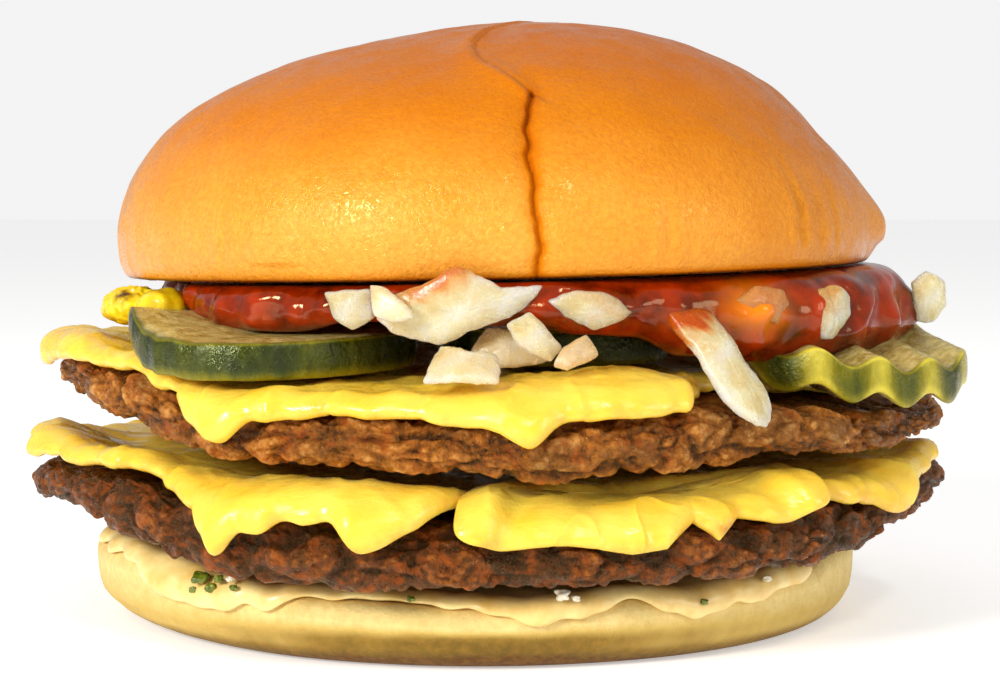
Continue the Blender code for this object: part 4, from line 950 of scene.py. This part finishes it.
def build_pickle(node, spec, material):
    turn = azimuths(COLUMNS["pickle"])
    cos, sin = cos_sin(turn)
    outline = (spec["radius"] - RIND_TRIM) * (1 + 0.025 * np.sin(np.radians(turn * 3 + spec["seed"] * 50)))
    ribs = 0.12 * ripple(polar(turn, spec["radius"], 0.0), 1.6, spec["seed"])
    levels = [(share, 1.0) for share in (0.15, 0.3, 0.45, 0.6, 0.72, 0.82, 0.88, 0.92)]
    for t in half_turn(20):
        levels.append((1 - 0.05 * (1 - math.cos(t) ** 0.45), math.copysign(abs(math.sin(t)) ** 0.9, t)))
    levels += [(share, -1.0) for share in (0.92, 0.85, 0.7, 0.45, 0.2)]
    rings, skins, light = [], [], []
    for share, side in levels:
        radius = outline * share + ribs * smoothstep(0.9, 1.0, share)
        ring = pickle_points(spec, radius * cos, radius * sin, side)
        ring[:, 2] += 0.12 * side * ripple(ring, 2.6, spec["seed"]) * (1 - smoothstep(0.9, 1.0, share))
        rings.append(ring)
        skins.append(smoothstep(0.93, 0.985, share))
        phase = (radius * cos + CRINKLE_SHIFT) * 2 * math.pi / CRINKLE_PITCH
        windows = (0.1 + 0.45 * (0.5 + 0.5 * np.sin(phase)) ** 1.5) * (spec["wave"] > 0)
        light.append(windows + 0.26 * (smoothstep(-0.3, -0.95, side) + bell(side - 0.92, 0.07)))
    poles = [pickle_points(spec, np.array(0.0), np.array(0.0), side) for side in (1, -1)]
    pickle = skin(node + "_slice", rings, *poles, material, skin=skins, light=light)
    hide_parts(node)


def build_ketchup(material):
    azimuth = azimuths(COLUMNS["ketchup"])
    out = polar(azimuth, 1.0, 0.0)
    reach = around(KETCHUP_REACH, azimuth) + 0.5 * ripple(polar(azimuth, 20.0, 0.0), 3.0, 9.0)
    edge = polar(azimuth, reach, 0.0)
    high, low = crown_underside_z(edge[:, 0]) - GAP, around(KETCHUP_LOW_Z, azimuth)
    bulge = (high - low) / 2
    rings, glow = [], []
    for share in (0.3, 0.6, 0.8):
        ring = polar(azimuth, (reach - bulge) * share, 0.0)
        ring[:, 2] = crown_underside_z(ring[:, 0]) - GAP
        rings.append(ring)
    for turn in np.radians(np.linspace(90, -90, 42)):
        z = (high + low) / 2 + bulge * math.sin(turn)
        ring = polar(azimuth, reach - bulge * (1 - math.cos(turn)), z)
        swell = 0.8 * ripple(ring, 5.5, 3.3) + 0.35 * ripple(ring, 2.6, 4.3)
        bump = bell(np.radians(angle_between(azimuth, GLOW["azimuth"])) * reach, GLOW["width"])
        bump = bump * bell(ring[:, 2] - GLOW["z"], GLOW["height"])
        swell = (swell + GLOW["rise"] * bump) * math.cos(turn)
        glow.append(bump)
        rings.append(ring + swell[:, None] * out)
    for share in (1.4, 2.0, 2.6):
        rings.append(polar(azimuth, reach - share * bulge, np.maximum(low, KETCHUP_MIDDLE_Z - 0.6)))
    rings.append(polar(azimuth, 22.0, KETCHUP_MIDDLE_Z))
    glow = [0.0] * 3 + glow + [0.0] * 4
    top, bottom = (0, 0, CROWN_UNDERSIDE_Z - GAP), (0, 0, KETCHUP_MIDDLE_Z)
    ketchup = skin("ketchup_pool", rings, top, bottom, material, glow=glow)
    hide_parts("ketchup")


def build_mustard(material):
    balls = np.array(MUSTARD_BALLS)
    middle = balls[0, :3]
    turn = azimuths(COLUMNS["mustard"])
    rings = []
    for angle in np.linspace(86, -86, 60):
        way = polar(turn, *cos_sin(angle))
        far = []
        for x, y, z, half_z, half_xy in balls:
            scale = np.array([half_xy, half_xy, half_z])
            start, step = (middle - (x, y, z)) / scale, way / scale
            a, b, c = (step**2).sum(1), 2 * (step * start).sum(1), (start**2).sum() - 1
            root = np.sqrt(np.maximum(b * b - 4 * a * c, 0))
            far.append(np.where(b * b - 4 * a * c > 0, (root - b) / (2 * a), 0))
        smooth = (np.array(far) ** 8).mean(0) ** (1 / 8)
        uneven = 0.97 + 0.12 * ripple(way * 6, 3.0, 2.0) + 0.06 * ripple(way * 6, 1.2, 5.0)
        rings.append(middle + way * (smooth * uneven)[:, None])
    rings = np.array(rings)
    burnt = bell(np.linalg.norm(rings - MUSTARD_CHAR, axis=2), 1.3)
    char = np.clip(1.4 * burnt + 0.4 * ripple(rings, 0.8, 1.0) - 0.3, 0, 1)
    mustard = skin("mustard_blob", rings, rings[0].mean(0), rings[-1].mean(0), material, char=char)
    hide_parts("mustard")


def rounded_outline(corners, steps):
    """The outline through the corners with slightly bulging sides and softened corners."""
    corners = np.asarray(corners, float)
    following = np.roll(corners, -1, axis=0)
    points = []
    for here, there in zip(corners, following):
        t = (np.arange(steps) / steps)[:, None]
        side = here * (1 - t) + there * t
        points.append(side * (1 + 0.03 * np.sin(math.pi * t)))
    line = np.concatenate(points)
    return 0.5 * line + 0.25 * (np.roll(line, 1, axis=0) + np.roll(line, -1, axis=0))


def build_onion(node, spec, material):
    (azimuth, reach, z), (lean, roll, yaw), (amount, right, up, start), corners = spec
    outline = rounded_outline(corners, 14)
    half = ONION_T / 2
    seed = float(node[-2:])
    levels = [(share, 1.0) for share in (0.2, 0.4, 0.6, 0.76, 0.88)]
    levels += [(1 - 0.08 * (1 - math.cos(t) ** 0.6), math.sin(t)) for t in half_turn(12)]
    levels += [(share, -1.0) for share in (0.85, 0.5)]
    rings, stain, rim = [], [], []
    jagged = ripple(np.column_stack([outline, np.zeros(len(outline))]), 1.1, seed + 4)
    for share, side in levels:
        line = outline * share * (1 + 0.035 * share * jagged[:, None])
        bend = (line[:, 0] ** 2 + 0.3 * line[:, 1] ** 2) / (2 * ONION_BEND_R)
        place = np.column_stack([line[:, 0], np.full(len(line), side), line[:, 1]])
        wobble = 0.2 * ripple(place, 2.4, seed) + 0.08 * ripple(place * (3.0, 1.0, 0.8), 1.4, seed + 2)
        thick = 1 - 0.62 * share**3 + 0.12 * ripple(place, 3.0, seed + 1)
        depth = bend - half * side * thick + wobble
        rings.append(np.column_stack([line[:, 0], depth, line[:, 1]])[::-1])
        along = line[:, 0] * right + line[:, 1] * up + 1.2 * ripple(place, 1.8, seed + 3)
        stain.append((amount * smoothstep(start - 1.6, start + 1.6, along))[::-1])
        # The painted highlight along the piece's edge.
        rim.append(0.5 * smoothstep(0.85, 1.0, share))
    onion = skin(node + "_dice", rings, (0, -half, 0), (0, half, 0), material, stain=stain, rim=rim)
    onion.location = polar(azimuth, reach, z) * MM
    onion.rotation_mode = "YXZ"
    onion.rotation_euler = [math.radians(turn) for turn in (lean, roll, azimuth - FRONT + yaw)]
    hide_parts(node)


def build_bits(kind, places, material):
    """Small lumps that stick out of the sauce on the heel's side."""
    turn = azimuths(COLUMNS["bit"])
    for number, (azimuth, z, size) in enumerate(places):
        middle = polar(azimuth, heel_radius(azimuth) + 1.2, z, HEEL_CENTRE)
        rings = []
        for angle in np.linspace(84, -84, 14):
            way = polar(turn, *cos_sin(angle))
            way = way / np.abs(way).max(axis=1, keepdims=True) ** 0.3
            uneven = 1 + 0.35 * ripple(way, 0.8, number + size)
            rings.append(middle + way * uneven[:, None] * size * np.array((0.62, 0.5, 0.45)))
        skin(f"{kind}_{number + 1:02d}", rings, rings[0].mean(0), rings[-1].mean(0), material)


# The stage

def area_light(name, place, target, size, power, colour=(1.0, 1.0, 1.0)):
    data = bpy.data.lights.new(name, "AREA")
    data.shape = "DISK"
    data.size = size
    data.energy = power
    data.color = colour
    light = new_object(name, data)
    light.location = place
    light.rotation_euler = (Vector(target) - Vector(place)).to_track_quat("-Z", "Y").to_euler()


def build_stage():
    floor_look = Look("floor", Roughness=0.7, Base_Color=(0.92, 0.92, 0.92, 1.0),
                      Emission_Color=(1.0, 1.0, 1.0, 1.0), Emission_Strength=FLOOR_GLOW)
    mesh = bpy.data.meshes.new("floor")
    mesh.from_pydata([(-6, -6, 0), (6, -6, 0), (6, 6, 0), (-6, 6, 0)], [], [(0, 1, 2, 3)])
    mesh.materials.append(floor_look.material)
    floor = new_object("floor", mesh)

    world = bpy.data.worlds.new("studio")
    world.use_nodes = True
    nodes = world.node_tree.nodes
    white = nodes["Background"]
    white.inputs["Color"].default_value = (1.0, 1.0, 1.0, 1.0)
    strength = nodes.new("ShaderNodeMapRange")
    strength.inputs["To Min"].default_value = ROOM_LIGHT
    strength.inputs["To Max"].default_value = BACKDROP_LIGHT
    seen = nodes.new("ShaderNodeLightPath").outputs["Is Camera Ray"]
    world.node_tree.links.new(seen, strength.inputs["Value"])
    world.node_tree.links.new(strength.outputs["Result"], white.inputs["Strength"])
    bpy.context.scene.world = world
    bpy.context.scene.view_settings.view_transform = "Standard"
    middle = (0, 0, 0.04)
    area_light("key", (-0.62, -0.72, 0.42), middle, 0.3, 9.0, (1.0, 0.97, 0.92))
    area_light("front", (0.17, -0.66, 0.62), middle, 0.12, 1.5, (1.0, 0.97, 0.92))
    area_light("fill", (0.8, -0.5, 0.35), middle, 0.4, 1.8)

    data = bpy.data.cameras.new("camera")
    data.lens = CAMERA_LENS
    camera = new_object("camera", data)
    camera.location = Vector(CAMERA_PLACE) * MM
    camera.rotation_euler = (math.radians(90 - CAMERA_TILT), 0, 0)
    bpy.context.scene.camera = camera


def main():
    build_stage()
    build_heel(crumb_look())
    waxy = {"Subsurface_Weight": 0.2, "Subsurface_Scale": 0.002}
    build_sauce(wet_look("sauce", (228, 186, 100), (250, 222, 150), size=4.0, Roughness=0.3,
                         Subsurface_Radius=(1.0, 0.7, 0.4), **waxy))
    # The lower patty's meat is a darker copy of the upper one's: painted shade for the overhang above it.
    lower_meat = meat_look("meat_lower_painted_shade", (24, 6, 0), (66, 24, 0), (102, 44, 4), (154, 84, 24))
    upper_meat = meat_look("meat_upper", (54, 22, 2), (136, 74, 14), (176, 106, 34), (210, 148, 76))
    build_patty("patty_lower", LOWER_PATTY, lower_meat)
    cheese = cheese_look()
    build_slice("cheese_lower_under", LOWER_PATTY, UNDER_HANG, UNDER_PUFFS, cheese, seed=2.0)
    build_over_slice(cheese, seed=6.0)
    build_patty("patty_upper", UPPER_PATTY, upper_meat)
    build_slice("cheese_upper", UPPER_PATTY, UPPER_HANG, UPPER_PUFFS, cheese, seed=5.0, stain=1.0)
    pickle = pickle_look()
    for node, spec in PICKLES.items():
        build_pickle(node, {**PLAIN_PICKLE, **spec}, pickle)
    build_ketchup(wet_look("ketchup", (60, 6, 0), (168, 44, 2), size=5.0, spot=("glow", (240, 128, 8)),
                           Roughness=0.12, Specular_Tint=WARM_SHINE, Coat_Weight=0.12, Coat_Roughness=0.04,
                           Subsurface_Radius=(1.0, 0.2, 0.1), **waxy))
    build_mustard(wet_look("mustard", (216, 176, 6), (246, 222, 36), size=2.0, spot=("char", (70, 34, 4)),
                           Roughness=0.22, Subsurface_Radius=(1.0, 0.7, 0.1), **waxy))
    onion = onion_look()
    for node, spec in ONIONS.items():
        build_onion(node, spec, onion)
    relish = wet_look("relish", (64, 80, 10), (128, 138, 40), size=0.8, Roughness=0.2)
    build_bits("relish_bit", RELISH_BITS, relish)
    dice = wet_look("dice", (226, 214, 180), (250, 244, 226), size=0.9, Roughness=0.25)
    build_bits("dice_bit", DICE_BITS, dice)
    build_crown(crust_look())


main()
